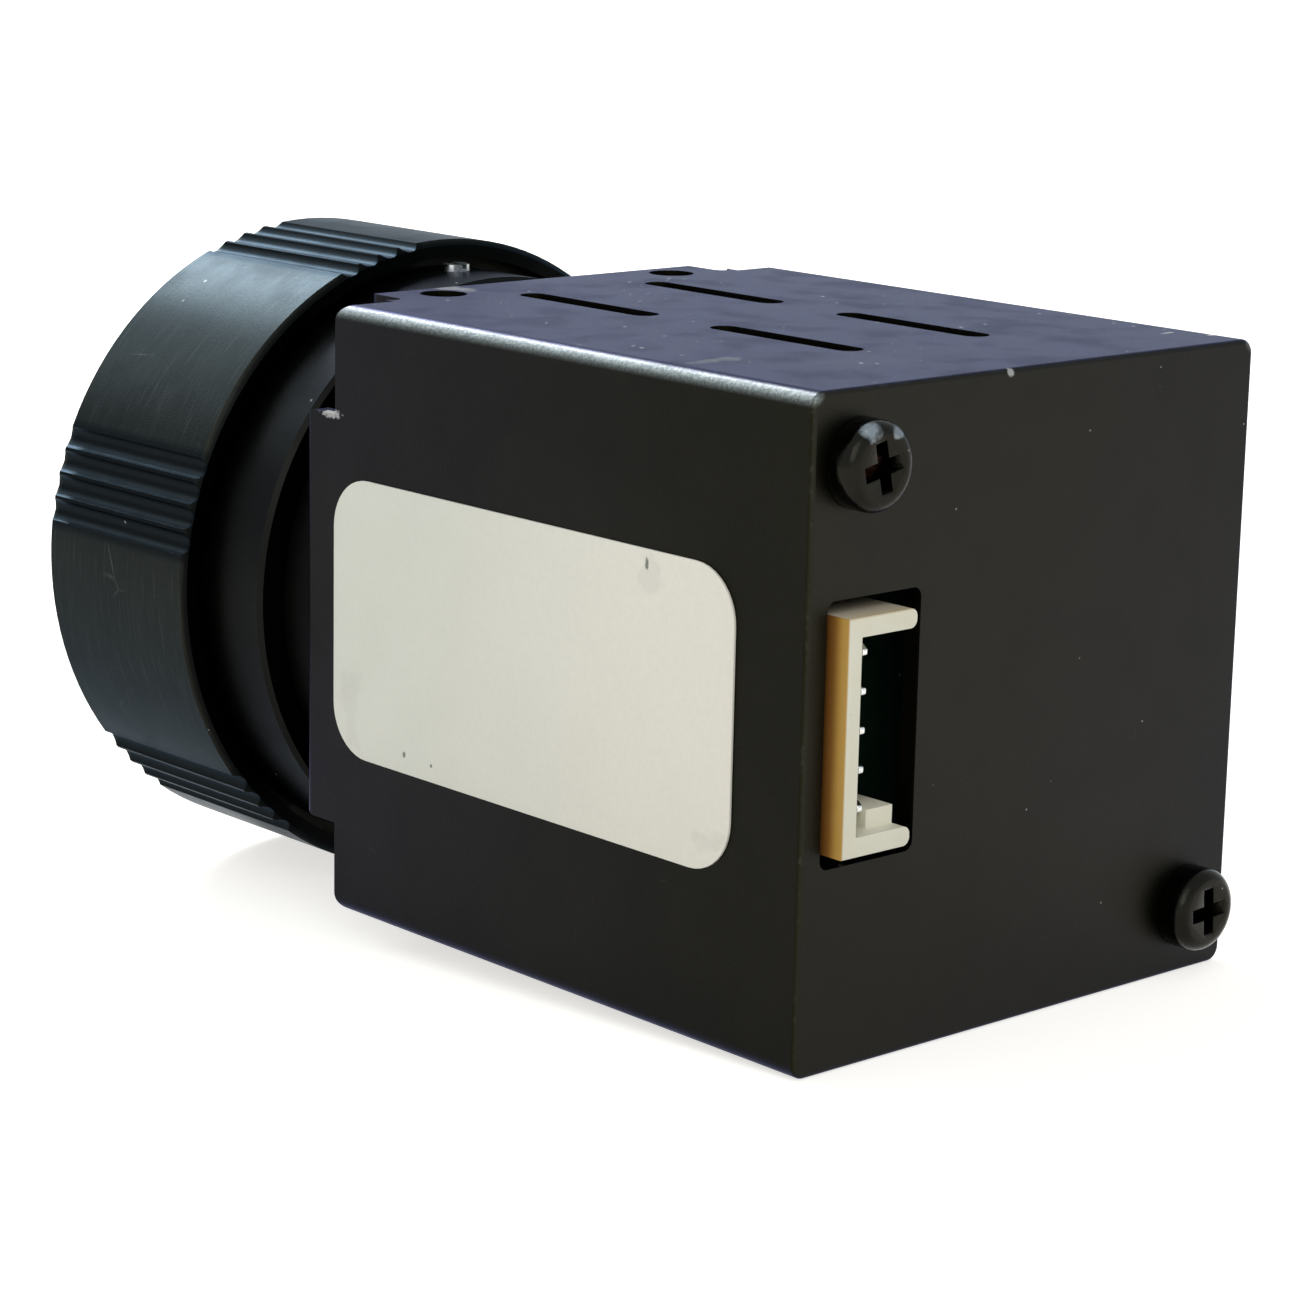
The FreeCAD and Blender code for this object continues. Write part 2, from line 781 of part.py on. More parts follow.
def make_front_lens():
    front_face = (front_lens_curve, front_retainer_overlap + lens_gap)
    back_face = (front_lens_back_curve, front_seat_lip + lens_gap)
    return lens_element(front_lens_radius, front_seat_start, front_seat_start + front_lens_edge,
                        front_face, back_face)


def make_rear_lens():
    front_face = (rear_lens_curve, rear_seat_lip + lens_gap)
    return lens_element(rear_lens_radius, rear_lens_start, rear_lens_start + rear_lens_edge,
                        front_face, None)


def spanner_slot(y_range):
    half = spanner_slot_width / 2
    return block((-cell_front_bore, cell_front_bore), y_range,
                 (lens_axis_height - half, lens_axis_height + half))


def make_front_retainer():
    outer = cell_front_bore - retainer_gap
    start = cell_front_bore_start
    end = start + front_retainer_length
    profile = [
        (front_retainer_inner, start - front_retainer_lip_length),
        (front_retainer_lip, start - front_retainer_lip_length),
        (front_retainer_lip, start),
        (outer, start),
        (outer, end),
        (front_retainer_inner + front_retainer_lip_length, end),
        (front_retainer_inner, end - front_retainer_lip_length),
    ]
    return turned(profile).cut(spanner_slot((ahead(end + overshoot), ahead(end - spanner_slot_depth))))


def make_rear_retainer():
    end = rear_lens_start
    start = end - rear_retainer_length
    ring = turned_tube(rear_bore_radius - retainer_gap, rear_retainer_inner, start, end)
    return ring.cut(spanner_slot((ahead(start + spanner_slot_depth), ahead(start - overshoot))))


def stack_sheet(depth, thickness):
    # plate of the board outline, notched around the chassis legs and drilled for the stack screws
    sheet = block((-board_half_width, board_half_width), (behind(depth), behind(depth + thickness)),
                  (board_low_edge, board_high_edge))
    notch_x = inner_half_width - leg_gap - leg_width - board_notch_gap
    notch_z = middle_height - housing_wall - leg_gap - leg_height - board_notch_gap
    tools = []
    for sign in (1, -1):
        tools.append(block((sign * notch_x, sign * housing_width), (behind(depth - overshoot),
                           behind(depth + thickness + overshoot)),
                           (middle_height + sign * notch_z, middle_height + sign * housing_height)))
    for place in stack_screw_places():
        tools.append(hole_along_y(place, screw_clearance_radius,
                                  (behind(depth - overshoot), behind(depth + thickness + overshoot))))
    return sheet.cut(tools)


def make_shutter_base():
    plate = stack_sheet(shutter_base_depth, shutter_base_thickness)
    window = rounded_bar(Vector(0, behind(shutter_base_depth - overshoot), lens_axis_height),
                         shutter_window_width, shutter_window_height, shutter_base_thickness + 2 * overshoot,
                         shutter_corner_radius, along_y)
    shaft_hole = hole_along_y(Vector(pivot_x, 0, lens_axis_height), shaft_radius + running_clearance,
                              (behind(shutter_base_depth - overshoot),
                               behind(shutter_base_depth + shutter_base_thickness + overshoot)))
    return plate.cut([window, shaft_hole])


def blade_depth():
    return shutter_base_depth + shutter_base_thickness + blade_gap


def make_shutter_blade():
    # flat flag on a hub, drawn closed over the window and then swung to its open rest
    start = blade_depth()
    z = lens_axis_height
    flag = block((pivot_x + blade_start, pivot_x + blade_end - blade_half_width),
                 (behind(start), behind(start + blade_thickness)),
                 (z - blade_half_width, z + blade_half_width))
    tip = hole_along_y(Vector(pivot_x + blade_end - blade_half_width, 0, z), blade_half_width,
                       (behind(start), behind(start + blade_thickness)))
    arm = block((pivot_x, pivot_x + blade_start), (behind(start), behind(start + blade_thickness)),
                (z - blade_arm_half_width, z + blade_arm_half_width))
    hub_start = start - (hub_length - blade_thickness) / 2
    hub = hole_along_y(Vector(pivot_x, 0, z), hub_radius, (behind(hub_start), behind(hub_start + hub_length)))
    blade = flag.fuse([tip, arm, hub]).removeSplitter()
    bore = hole_along_y(Vector(pivot_x, 0, z), shaft_radius + running_clearance,
                        (behind(hub_start - overshoot), behind(hub_start + hub_length + overshoot)))
    blade = blade.cut(bore)
    blade.rotate(Vector(pivot_x, 0, z), along_y, -blade_open_angle)
    return blade


def make_shutter_actuator():
    # motor block behind the blade, with the shaft that the blade turns on
    z = lens_axis_height
    front_depth = blade_depth() + (blade_thickness + hub_length) / 2 + actuator_gap
    body = block((pivot_x - actuator_half_width, pivot_x + actuator_half_width),
                 (behind(front_depth), behind(sensor_board_depth)),
                 (z - actuator_height / 2, z + actuator_height / 2))
    shaft = hole_along_y(Vector(pivot_x, 0, z), shaft_radius,
                         (behind(shutter_base_depth), behind(front_depth)))
    waist = []
    for sign in (-1, 1):
        centre_z = z + sign * (actuator_height / 2)
        outer = block((pivot_x - housing_width, pivot_x + housing_width),
                      (behind(front_depth - overshoot), behind(sensor_board_depth + overshoot)),
                      (centre_z - sign * coil_length, centre_z + sign * overshoot))
        round_end = hole_along_y(Vector(pivot_x, 0, centre_z - sign * coil_length), coil_radius,
                                 (behind(front_depth - overshoot), behind(sensor_board_depth + overshoot)))
        waist.append(outer.cut(round_end))
    return body.fuse(shaft).removeSplitter().cut(waist)


def centred_block(width, height, depth_range, centre_x, centre_z):
    return block((centre_x - width / 2, centre_x + width / 2),
                 (behind(depth_range[0]), behind(depth_range[1])),
                 (centre_z - height / 2, centre_z + height / 2))


def make_sensor_package():
    start = sensor_board_depth - package_thickness
    body = centred_block(package_size, package_size, (start, sensor_board_depth), 0, lens_axis_height)
    sink = centred_block(window_width + 2 * window_gap, window_height + 2 * window_gap,
                         (start - overshoot, start + package_window_sink), 0, lens_axis_height)
    return body.cut(sink)


def make_sensor_window():
    end = sensor_board_depth - package_thickness + package_window_sink
    return centred_block(window_width, window_height, (end - window_thickness, end), 0, lens_axis_height)


def make_interface_board():
    board = stack_sheet(interface_board_depth, board_thickness)
    tools = []
    for place in pin_places():
        tools.append(hole_along_y(place, pin_hole_radius,
                                  (behind(interface_board_depth - overshoot),
                                   behind(interface_board_depth + board_thickness + overshoot))))
    return board.cut(tools)


def make_image_processor():
    start = processor_board_depth + board_thickness
    return centred_block(processor_size, processor_size, (start, start + processor_thickness),
                         0, lens_axis_height - processor_drop)


def make_memory_chip():
    end = processor_board_depth
    return centred_block(memory_width, memory_height, (end - memory_thickness, end), 0, lens_axis_height)


def make_power_inductor():
    end = interface_board_depth
    body = centred_block(inductor_size, inductor_size, (end - inductor_thickness, end),
                         inductor_x, middle_height + inductor_rise)
    upright = [edge for edge in body.Edges if abs(edge.tangentAt(edge.FirstParameter).y) > 0.999]
    return body.makeChamfer(inductor_size / 5, upright)


def make_filter_capacitors():
    end = interface_board_depth
    cans = []
    for index in range(capacitor_count):
        z = board_low_edge + capacitor_first_rise + index * capacitor_pitch
        cans.append(centred_block(capacitor_length, capacitor_width, (end - capacitor_thickness, end),
                                  capacitor_x, z))
    return Part.makeCompound(cans)


def link_pair(start, end, centre_z):
    # socket on the front board and plug on the board behind it, meeting halfway
    joint = (start + end) / 2
    socket = centred_block(link_length, link_width, (start, joint), 0, centre_z)
    slot = centred_block(link_length - 2 * link_wall, link_width - 2 * link_wall,
                         (joint - link_tongue_depth, joint + overshoot), 0, centre_z)
    plug = centred_block(link_length, link_width, (joint, end), 0, centre_z)
    tongue = centred_block(link_length - 2 * (link_wall + link_tongue_gap),
                           link_width - 2 * (link_wall + link_tongue_gap),
                           (joint - link_tongue_depth + link_tongue_gap, joint), 0, centre_z)
    return socket.cut(slot), plug.fuse(tongue).removeSplitter()


def make_links():
    first = link_pair(sensor_board_depth + board_thickness, processor_board_depth, sensor_link_z)
    second = link_pair(processor_board_depth + board_thickness, interface_board_depth, processor_link_z)
    return Part.makeCompound([first[0], second[0]]), Part.makeCompound([first[1], second[1]])


def make_spacers(start, end):
    spacers = []
    for place in stack_screw_places():
        outer = hole_along_y(place, spacer_radius, (behind(start), behind(end)))
        bore = hole_along_y(place, screw_clearance_radius,
                            (behind(start - overshoot), behind(end + overshoot)))
        spacers.append(outer.cut(bore))
    return Part.makeCompound(spacers)


def make_stack_screws():
    seat = interface_board_depth + board_thickness
    length = seat - (plate_depth - stack_thread_depth) - plate_gap
    return Part.makeCompound([pan_head_screw(place, behind(seat), length) for place in stack_screw_places()])


def header_base_depth():
    return interface_board_depth + board_thickness


def make_connector_header():
    start = header_base_depth()
    end = start + header_depth
    body = centred_block(header_width, header_height, (start, end), header_centre_x, header_centre_z)
    left = header_centre_x - header_width / 2
    right = header_centre_x + header_width / 2
    low = header_centre_z - header_height / 2 + header_wall
    high = header_centre_z + header_height / 2 - header_wall
    hollow = block((left + header_wall, right - header_wall),
                   (behind(start + header_floor), behind(end + overshoot)), (low, high))
    open_side = block((left - overshoot, left + header_wall + overshoot),
                      (behind(end - header_low_side_drop), behind(end + overshoot)), (low, high))
    through_floor = (behind(start - overshoot), behind(start + 2 * header_floor))
    pin_room = [hole_along_y(place, pin_hole_radius, through_floor) for place in pin_places()]
    header = body.cut([hollow, open_side] + pin_room)
    ribs = []
    for wall_z, inward in ((low, 1), (high, -1)):
        middle = (left + right) / 2
        ribs.append(block((middle - header_rib_width / 2, middle + header_rib_width / 2),
                          (behind(start + header_floor), behind(end - header_rib_drop)),
                          (wall_z, wall_z + inward * header_rib_height)))
    return header.fuse(ribs).removeSplitter()


def pin_places():
    first = header_centre_z - (pin_count - 1) / 2 * pin_pitch
    x = header_centre_x + pin_offset_x
    return [Vector(x, 0, first + index * pin_pitch) for index in range(pin_count)]


def make_connector_pins():
    start = interface_board_depth - pin_tail
    end = header_base_depth() + header_depth - pin_tip_drop
    pins = []
    for place in pin_places():
        shank = centred_block(pin_side, pin_side, (start, end), place.x, place.z)
        pins.append(shank.makeChamfer(pin_side / 4, edges_at(shank, behind(end))))
    return Part.makeCompound(pins)


def make_parts():
    board_sockets, board_plugs = make_links()
    plate_back = plate_depth
    base_back = shutter_base_depth + shutter_base_thickness
    sensor_back = sensor_board_depth + board_thickness
    processor_back = processor_board_depth + board_thickness
    return {
        "housing": make_housing(),
        "side_label": make_label(),
        "rear_screws": make_rear_screws(),
        "front_chassis": make_front_chassis(),
        "lens_lock_ring": make_lock_ring(),
        "lens_barrel": make_lens_barrel(),
        "focus_ring": make_focus_ring(),
        "focus_ring_clip": make_ring_clip(),
        "focus_guide_screws": make_guide_screws(),
        "lens_cell": make_lens_cell(),
        "front_lens": make_front_lens(),
        "front_lens_seal": make_lens_seal(),
        "front_retaining_ring": make_front_retainer(),
        "rear_lens": make_rear_lens(),
        "rear_retaining_ring": make_rear_retainer(),
        "shutter_base": make_shutter_base(),
        "shutter_blade": make_shutter_blade(),
        "shutter_actuator": make_shutter_actuator(),
        "sensor_package": make_sensor_package(),
        "sensor_window": make_sensor_window(),
        "sensor_board": stack_sheet(sensor_board_depth, board_thickness),
        "processor_board": stack_sheet(processor_board_depth, board_thickness),
        "interface_board": make_interface_board(),
        "image_processor": make_image_processor(),
        "memory_chip": make_memory_chip(),
        "power_inductor": make_power_inductor(),
        "filter_capacitors": make_filter_capacitors(),
        "board_sockets": board_sockets,
        "board_plugs": board_plugs,
        "shutter_spacers": make_spacers(plate_back, shutter_base_depth),
        "sensor_spacers": make_spacers(base_back, sensor_board_depth),
        "processor_spacers": make_spacers(sensor_back, processor_board_depth),
        "interface_spacers": make_spacers(processor_back, interface_board_depth),
        "stack_screws": make_stack_screws(),
        "connector_header": make_connector_header(),
        "connector_pins": make_connector_pins(),
    }


os.makedirs("parts", exist_ok=True)
for name, shape in make_parts().items():
    shape.exportStep("parts/" + name + ".step")
    print(name, "solids", len(shape.Solids), "volume", round(shape.Volume, 2), "valid", shape.isValid())
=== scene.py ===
import math
import bpy
from mathutils import Matrix, Vector


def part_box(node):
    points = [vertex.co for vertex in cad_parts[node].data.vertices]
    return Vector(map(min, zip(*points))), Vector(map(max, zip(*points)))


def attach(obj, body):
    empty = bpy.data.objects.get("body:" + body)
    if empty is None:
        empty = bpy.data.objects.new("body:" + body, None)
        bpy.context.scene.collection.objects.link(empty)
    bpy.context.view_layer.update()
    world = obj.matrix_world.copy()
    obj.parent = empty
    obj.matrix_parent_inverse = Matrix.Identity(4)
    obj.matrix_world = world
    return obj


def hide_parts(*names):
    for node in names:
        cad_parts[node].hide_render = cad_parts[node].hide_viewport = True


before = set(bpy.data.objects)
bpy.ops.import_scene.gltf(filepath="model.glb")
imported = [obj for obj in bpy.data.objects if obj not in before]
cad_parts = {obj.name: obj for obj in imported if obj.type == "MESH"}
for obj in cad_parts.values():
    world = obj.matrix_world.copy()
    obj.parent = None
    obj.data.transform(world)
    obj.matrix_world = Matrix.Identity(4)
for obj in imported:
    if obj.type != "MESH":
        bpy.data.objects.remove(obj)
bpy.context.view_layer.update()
mm = 0.001
scene = bpy.context.scene
print("frame loaded,", len(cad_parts), "nodes")


# small helpers that place nodes and link them
def addNode(tree, kind, **settings):
    node = tree.nodes.new(kind)
    for name, value in settings.items():
        setattr(node, name, value)
    return node


def feed(tree, socket, value):
    # a number or colour goes on the socket, anything else is linked to it
    if isinstance(value, bpy.types.NodeSocket):
        tree.links.new(value, socket)
    elif value is not None:
        socket.default_value = value


def maths(tree, operation, first, second=None, third=None, clamp=False):
    node = addNode(tree, "ShaderNodeMath", operation=operation, use_clamp=clamp)
    for socket, value in zip(node.inputs, (first, second, third)):
        feed(tree, socket, value)
    return node.outputs[0]


def vectorMaths(tree, operation, first, second=None):
    node = addNode(tree, "ShaderNodeVectorMath", operation=operation)
    feed(tree, node.inputs[0], first)
    feed(tree, node.inputs[1], second)
    return node


def ramp(tree, value, low, high, fromZero=True):
    # smooth step between two values, rising or falling
    node = addNode(tree, "ShaderNodeMapRange", interpolation_type="SMOOTHSTEP")
    feed(tree, node.inputs["Value"], value)
    feed(tree, node.inputs["From Min"], low)
    feed(tree, node.inputs["From Max"], high)
    node.inputs["To Min"].default_value = 0.0 if fromZero else 1.0
    node.inputs["To Max"].default_value = 1.0 if fromZero else 0.0
    return node.outputs["Result"]


def mixColour(tree, factor, first, second):
    node = addNode(tree, "ShaderNodeMix", data_type="RGBA")
    feed(tree, node.inputs[0], factor)
    ends = [socket for socket in node.inputs if socket.type == "RGBA"]
    feed(tree, ends[0], first)
    feed(tree, ends[1], second)
    return [socket for socket in node.outputs if socket.type == "RGBA"][0]


def noise(tree, vector, scale, detail=2.0, rough=0.5):
    node = addNode(tree, "ShaderNodeTexNoise")
    feed(tree, node.inputs["Vector"], vector)
    feed(tree, node.inputs["Scale"], scale)
    node.inputs["Detail"].default_value = detail
    node.inputs["Roughness"].default_value = rough
    return node.outputs["Fac"]


def startGroup(name, inputs, outputs):
    group = bpy.data.node_groups.new(name, "ShaderNodeTree")
    for label, kind, value in inputs:
        socket = group.interface.new_socket(name=label, in_out="INPUT", socket_type=kind)
        if value is not None:
            socket.default_value = value
    for label in outputs:
        group.interface.new_socket(name=label, in_out="OUTPUT", socket_type="NodeSocketFloat")
    return group, addNode(group, "NodeGroupInput").outputs, addNode(group, "NodeGroupOutput").inputs


number = "NodeSocketFloat"
direction = "NodeSocketVector"


# effects that several finishes share
def makeGrain():
    # fine blast grain, cloudy tone and handling blotches
    inputs = [("Vector", direction, None), ("Grain Scale", number, 9000.0), ("Cloud Scale", number, 120.0)]
    group, given, out = startGroup("blastGrain", inputs, ["Grain", "Cloud", "Blotch"])
    feed(group, out["Grain"], noise(group, given["Vector"], given["Grain Scale"], 3.0, 0.6))
    feed(group, out["Cloud"], noise(group, given["Vector"], given["Cloud Scale"], 4.0, 0.55))
    wide = maths(group, "MULTIPLY", given["Cloud Scale"], 3.7)
    patches = noise(group, given["Vector"], wide, 2.0, 0.4)
    feed(group, out["Blotch"], ramp(group, patches, 0.42, 0.72))
    return group


def makeDust():
    # scattered round specks of uneven size
    inputs = [("Vector", direction, None), ("Scale", number, 900.0), ("Coverage", number, 0.1),
              ("Size", number, 0.22)]
    group, given, out = startGroup("dustSpecks", inputs, ["Mask"])
    cells = addNode(group, "ShaderNodeTexVoronoi", feature="F1")
    feed(group, cells.inputs["Vector"], given["Vector"])
    feed(group, cells.inputs["Scale"], given["Scale"])
    parts = addNode(group, "ShaderNodeSeparateColor")
    feed(group, parts.inputs[0], cells.outputs["Color"])
    chosen = maths(group, "LESS_THAN", parts.outputs[0], given["Coverage"])
    size = maths(group, "MULTIPLY", maths(group, "ADD", parts.outputs[1], 0.25), given["Size"])
    spot = maths(group, "SUBTRACT", 1.0, maths(group, "DIVIDE", cells.outputs["Distance"], size), clamp=True)
    strength = maths(group, "ADD", maths(group, "MULTIPLY", parts.outputs[2], 0.7), 0.3)
    mask = maths(group, "MULTIPLY", maths(group, "MULTIPLY", ramp(group, spot, 0.0, 0.45), chosen), strength)
    feed(group, out["Mask"], mask)
    return group


scratchShape = {"stretch": (1.0, 0.35, 0.8), "bendScale": 60.0, "drift": (0.012, -0.009), "gateScale": 420.0}


def makeScratches():
    # thin broken hairlines that run mostly along the part
    inputs = [("Vector", direction, None), ("Scale", number, 160.0), ("Width", number, 0.006),
              ("Coverage", number, 0.5)]
    group, given, out = startGroup("hairScratches", inputs, ["Mask"])
    stretched = vectorMaths(group, "MULTIPLY", given["Vector"], scratchShape["stretch"])
    bend = noise(group, given["Vector"], scratchShape["bendScale"], 1.0)
    offset = addNode(group, "ShaderNodeCombineXYZ")
    for axis, drift in enumerate(scratchShape["drift"]):
        feed(group, offset.inputs[axis], maths(group, "MULTIPLY", bend, drift))
    shifted = vectorMaths(group, "ADD", stretched.outputs[0], offset.outputs[0])
    net = addNode(group, "ShaderNodeTexVoronoi", feature="DISTANCE_TO_EDGE")
    feed(group, net.inputs["Vector"], shifted.outputs[0])
    feed(group, net.inputs["Scale"], given["Scale"])
    line = maths(group, "LESS_THAN", net.outputs["Distance"], given["Width"])
    gate = noise(group, given["Vector"], scratchShape["gateScale"], 2.0)
    level = maths(group, "SUBTRACT", 1.0, given["Coverage"])
    feed(group, out["Mask"], maths(group, "MULTIPLY", line, ramp(group, gate, level, 1.0)))
    return group


def makeBoxWear():
    # rubbed edges of a box: distance to the nearest edge, broken up by grain
    inputs = [("Vector", direction, None), ("Centre", direction, None), ("Half Size", direction, None),
              ("Width", number, 0.0003), ("Breakup", number, 1500.0)]
    group, given, out = startGroup("boxEdgeWear", inputs, ["Mask", "Edge"])
    local = vectorMaths(group, "SUBTRACT", given["Vector"], given["Centre"])
    inside = vectorMaths(group, "SUBTRACT", given["Half Size"],
                         vectorMaths(group, "ABSOLUTE", local.outputs[0]).outputs[0])
    axes = addNode(group, "ShaderNodeSeparateXYZ")
    feed(group, axes.inputs[0], inside.outputs[0])
    x, y, z = axes.outputs
    low = maths(group, "MINIMUM", maths(group, "MINIMUM", x, y), z)
    high = maths(group, "MAXIMUM", maths(group, "MAXIMUM", x, y), z)
    middle = maths(group, "SUBTRACT", maths(group, "ADD", maths(group, "ADD", x, y), z),
                   maths(group, "ADD", low, high))
    near = ramp(group, middle, 0.0, given["Width"], fromZero=False)
    broken = ramp(group, noise(group, given["Vector"], given["Breakup"], 3.0, 0.65), 0.5, 0.72)
    feed(group, out["Edge"], near)
    feed(group, out["Mask"], maths(group, "MULTIPLY", near, broken))
    return group


def makeSpot():
    # one soft-edged mark round a point, torn by noise
    inputs = [("Vector", direction, None), ("Place", direction, None), ("Reach", direction, None),
              ("Tear Scale", number, 2500.0), ("Tear", number, 0.5)]
    group, given, out = startGroup("singleMark", inputs, ["Mask"])
    away = vectorMaths(group, "SUBTRACT", given["Vector"], given["Place"])
    scaled = vectorMaths(group, "DIVIDE", away.outputs[0], given["Reach"])
    distance = vectorMaths(group, "LENGTH", scaled.outputs[0]).outputs["Value"]
    rough = noise(group, given["Vector"], given["Tear Scale"], 3.0)
    strength = maths(group, "MULTIPLY", given["Tear"], 4.0)
    tear = maths(group, "MULTIPLY", maths(group, "SUBTRACT", rough, 0.5), strength)
    feed(group, out["Mask"], ramp(group, maths(group, "ADD", distance, tear), 0.55, 1.05, fromZero=False))
    return group


# shared effects, by short name
effects = {"grain": makeGrain(), "dust": makeDust(), "scratches": makeScratches(),
           "boxWear": makeBoxWear(), "mark": makeSpot()}


def useEffect(tree, name, vector, **values):
    node = addNode(tree, "ShaderNodeGroup", node_tree=effects[name])
    feed(tree, node.inputs["Vector"], vector)
    for label, value in values.items():
        feed(tree, node.inputs[label.replace("_", " ")], value)
    return node.outputs


def useMark(tree, place, point, reach, tearScale, tear):
    return useEffect(tree, "mark", place, Place=[c * mm for c in point], Reach=[c * mm for c in reach],
                     Tear_Scale=tearScale, Tear=tear)["Mask"]


def useBoxWear(tree, place, look):
    return useEffect(tree, "boxWear", place, Centre=[c * mm for c in look["centre"]],
                     Half_Size=[c * mm for c in look["half"]], Width=look["wearWidth"] * mm,
                     Breakup=look["wearBreakup"])


def splitAxes(tree, vector):
    axes = addNode(tree, "ShaderNodeSeparateXYZ")
    feed(tree, axes.inputs[0], vector)
    return axes.outputs


def rampSpan(tree, value, span, fromZero=True):
    # the span is in millimetres
    return ramp(tree, value, span[0] * mm, span[1] * mm, fromZero)


def startMaterial(name):
    material = bpy.data.materials.get(name) or bpy.data.materials.new(name)
    material.use_nodes = True
    tree = material.node_tree
    tree.nodes.clear()
    shader = addNode(tree, "ShaderNodeBsdfPrincipled")
    output = addNode(tree, "ShaderNodeOutputMaterial")
    tree.links.new(shader.outputs[0], output.inputs[0])
    place = addNode(tree, "ShaderNodeTexCoord").outputs["Object"]
    return tree, shader, place


def roughen(tree, shader, height, depth, strength=1.0):
    bump = addNode(tree, "ShaderNodeBump")
    bump.inputs["Strength"].default_value = strength
    bump.inputs["Distance"].default_value = depth
    feed(tree, bump.inputs["Height"], height)
    tree.links.new(bump.outputs["Normal"], shader.inputs["Normal"])


print("shared effects ready")


# black anodised parts: near-black metal whose grazing sheen turns blue-violet
anodisedShares = {"scratch": 0.6, "dust": 0.9, "blotch": 0.5, "dustRough": 0.4, "scratchDepth": 0.8}
anodisedFinishes = {
    "black_anodised_housing": {
        "dark": (0.0085, 0.0080, 0.0036, 1), "light": (0.0142, 0.0134, 0.0073, 1), "edgeTint": (0.64, 0.66, 0.88, 1),
        "rough": 0.34, "roughSpread": 0.12, "grainScale": 14000.0, "cloudScale": 130.0, "grainDepth": 0.012,
        "dust": (0.36, 0.36, 0.35, 1), "dustScale": 1500.0, "dustCoverage": 0.07, "dustSize": 0.17,
        "scratchScale": 210.0, "scratchWidth": 0.004, "scratchCoverage": 0.36, "scratch": (0.07, 0.07, 0.065, 1)},
    "black_anodised_chassis": {
        "dark": (0.005, 0.005, 0.0045, 1), "light": (0.010, 0.010, 0.009, 1), "edgeTint": (0.56, 0.57, 0.66, 1),
        "rough": 0.45, "roughSpread": 0.10, "grainScale": 12000.0, "cloudScale": 160.0, "grainDepth": 0.010,
        "dust": (0.30, 0.31, 0.32, 1), "dustScale": 1300.0, "dustCoverage": 0.08, "dustSize": 0.20,
        "scratchScale": 260.0, "scratchWidth": 0.004, "scratchCoverage": 0.3, "scratch": (0.10, 0.10, 0.10, 1)},
    "black_anodised_lens": {
        "dark": (0.0065, 0.0065, 0.006, 1), "light": (0.012, 0.012, 0.011, 1), "edgeTint": (0.56, 0.58, 0.62, 1),
        "rough": 0.36, "roughSpread": 0.08, "grainScale": 9000.0, "cloudScale": 200.0, "grainDepth": 0.006,
        "dust": (0.30, 0.31, 0.32, 1), "dustScale": 1500.0, "dustCoverage": 0.03, "dustSize": 0.14,
        "scratchScale": 300.0, "scratchWidth": 0.004, "scratchCoverage": 0.3, "scratch": (0.10, 0.10, 0.10, 1)},
    "black_anodised_ring": {
        "dark": (0.0118, 0.0124, 0.0102, 1), "light": (0.0185, 0.0192, 0.0162, 1), "edgeTint": (0.53, 0.57, 0.62, 1),
        "rough": 0.32, "roughSpread": 0.10, "grainScale": 11000.0, "cloudScale": 150.0, "grainDepth": 0.008,
        "dust": (0.34, 0.36, 0.37, 1), "dustScale": 1700.0, "dustCoverage": 0.05, "dustSize": 0.14,
        "scratchScale": 240.0, "scratchWidth": 0.005, "scratchCoverage": 0.45, "scratch": (0.14, 0.15, 0.15, 1)},
}


def anodise(name, extraMarks=None):
    look, share = anodisedFinishes[name], anodisedShares
    tree, shader, place = startMaterial(name)
    grain = useEffect(tree, "grain", place, Grain_Scale=look["grainScale"], Cloud_Scale=look["cloudScale"])
    dust = useEffect(tree, "dust", place, Scale=look["dustScale"], Coverage=look["dustCoverage"],
                     Size=look["dustSize"])["Mask"]
    lines = useEffect(tree, "scratches", place, Scale=look["scratchScale"], Width=look["scratchWidth"],
                      Coverage=look["scratchCoverage"])["Mask"]
    colour = mixColour(tree, grain["Cloud"], look["dark"], look["light"])
    colour = mixColour(tree, maths(tree, "MULTIPLY", lines, share["scratch"]), colour, look["scratch"])
    bare = maths(tree, "MULTIPLY", dust, share["dust"])
    if extraMarks:
        colour, bare = extraMarks(tree, place, colour, bare)
    feed(tree, shader.inputs["Base Color"], mixColour(tree, bare, colour, look["dust"]))
    feed(tree, shader.inputs["Metallic"], maths(tree, "SUBTRACT", 1.0, bare, clamp=True))
    shader.inputs["Specular Tint"].default_value = look["edgeTint"]
    wobble = maths(tree, "MULTIPLY", maths(tree, "SUBTRACT", grain["Grain"], 0.5), look["roughSpread"])
    smear = maths(tree, "MULTIPLY", grain["Blotch"], look["roughSpread"] * share["blotch"])
    dulled = maths(tree, "ADD", maths(tree, "ADD", wobble, look["rough"]), smear)
    dusted = maths(tree, "MULTIPLY", bare, share["dustRough"])
    feed(tree, shader.inputs["Roughness"], maths(tree, "ADD", dulled, dusted, clamp=True))
    height = maths(tree, "SUBTRACT", grain["Grain"], maths(tree, "MULTIPLY", lines, share["scratchDepth"]))
    roughen(tree, shader, height, look["grainDepth"] * mm)


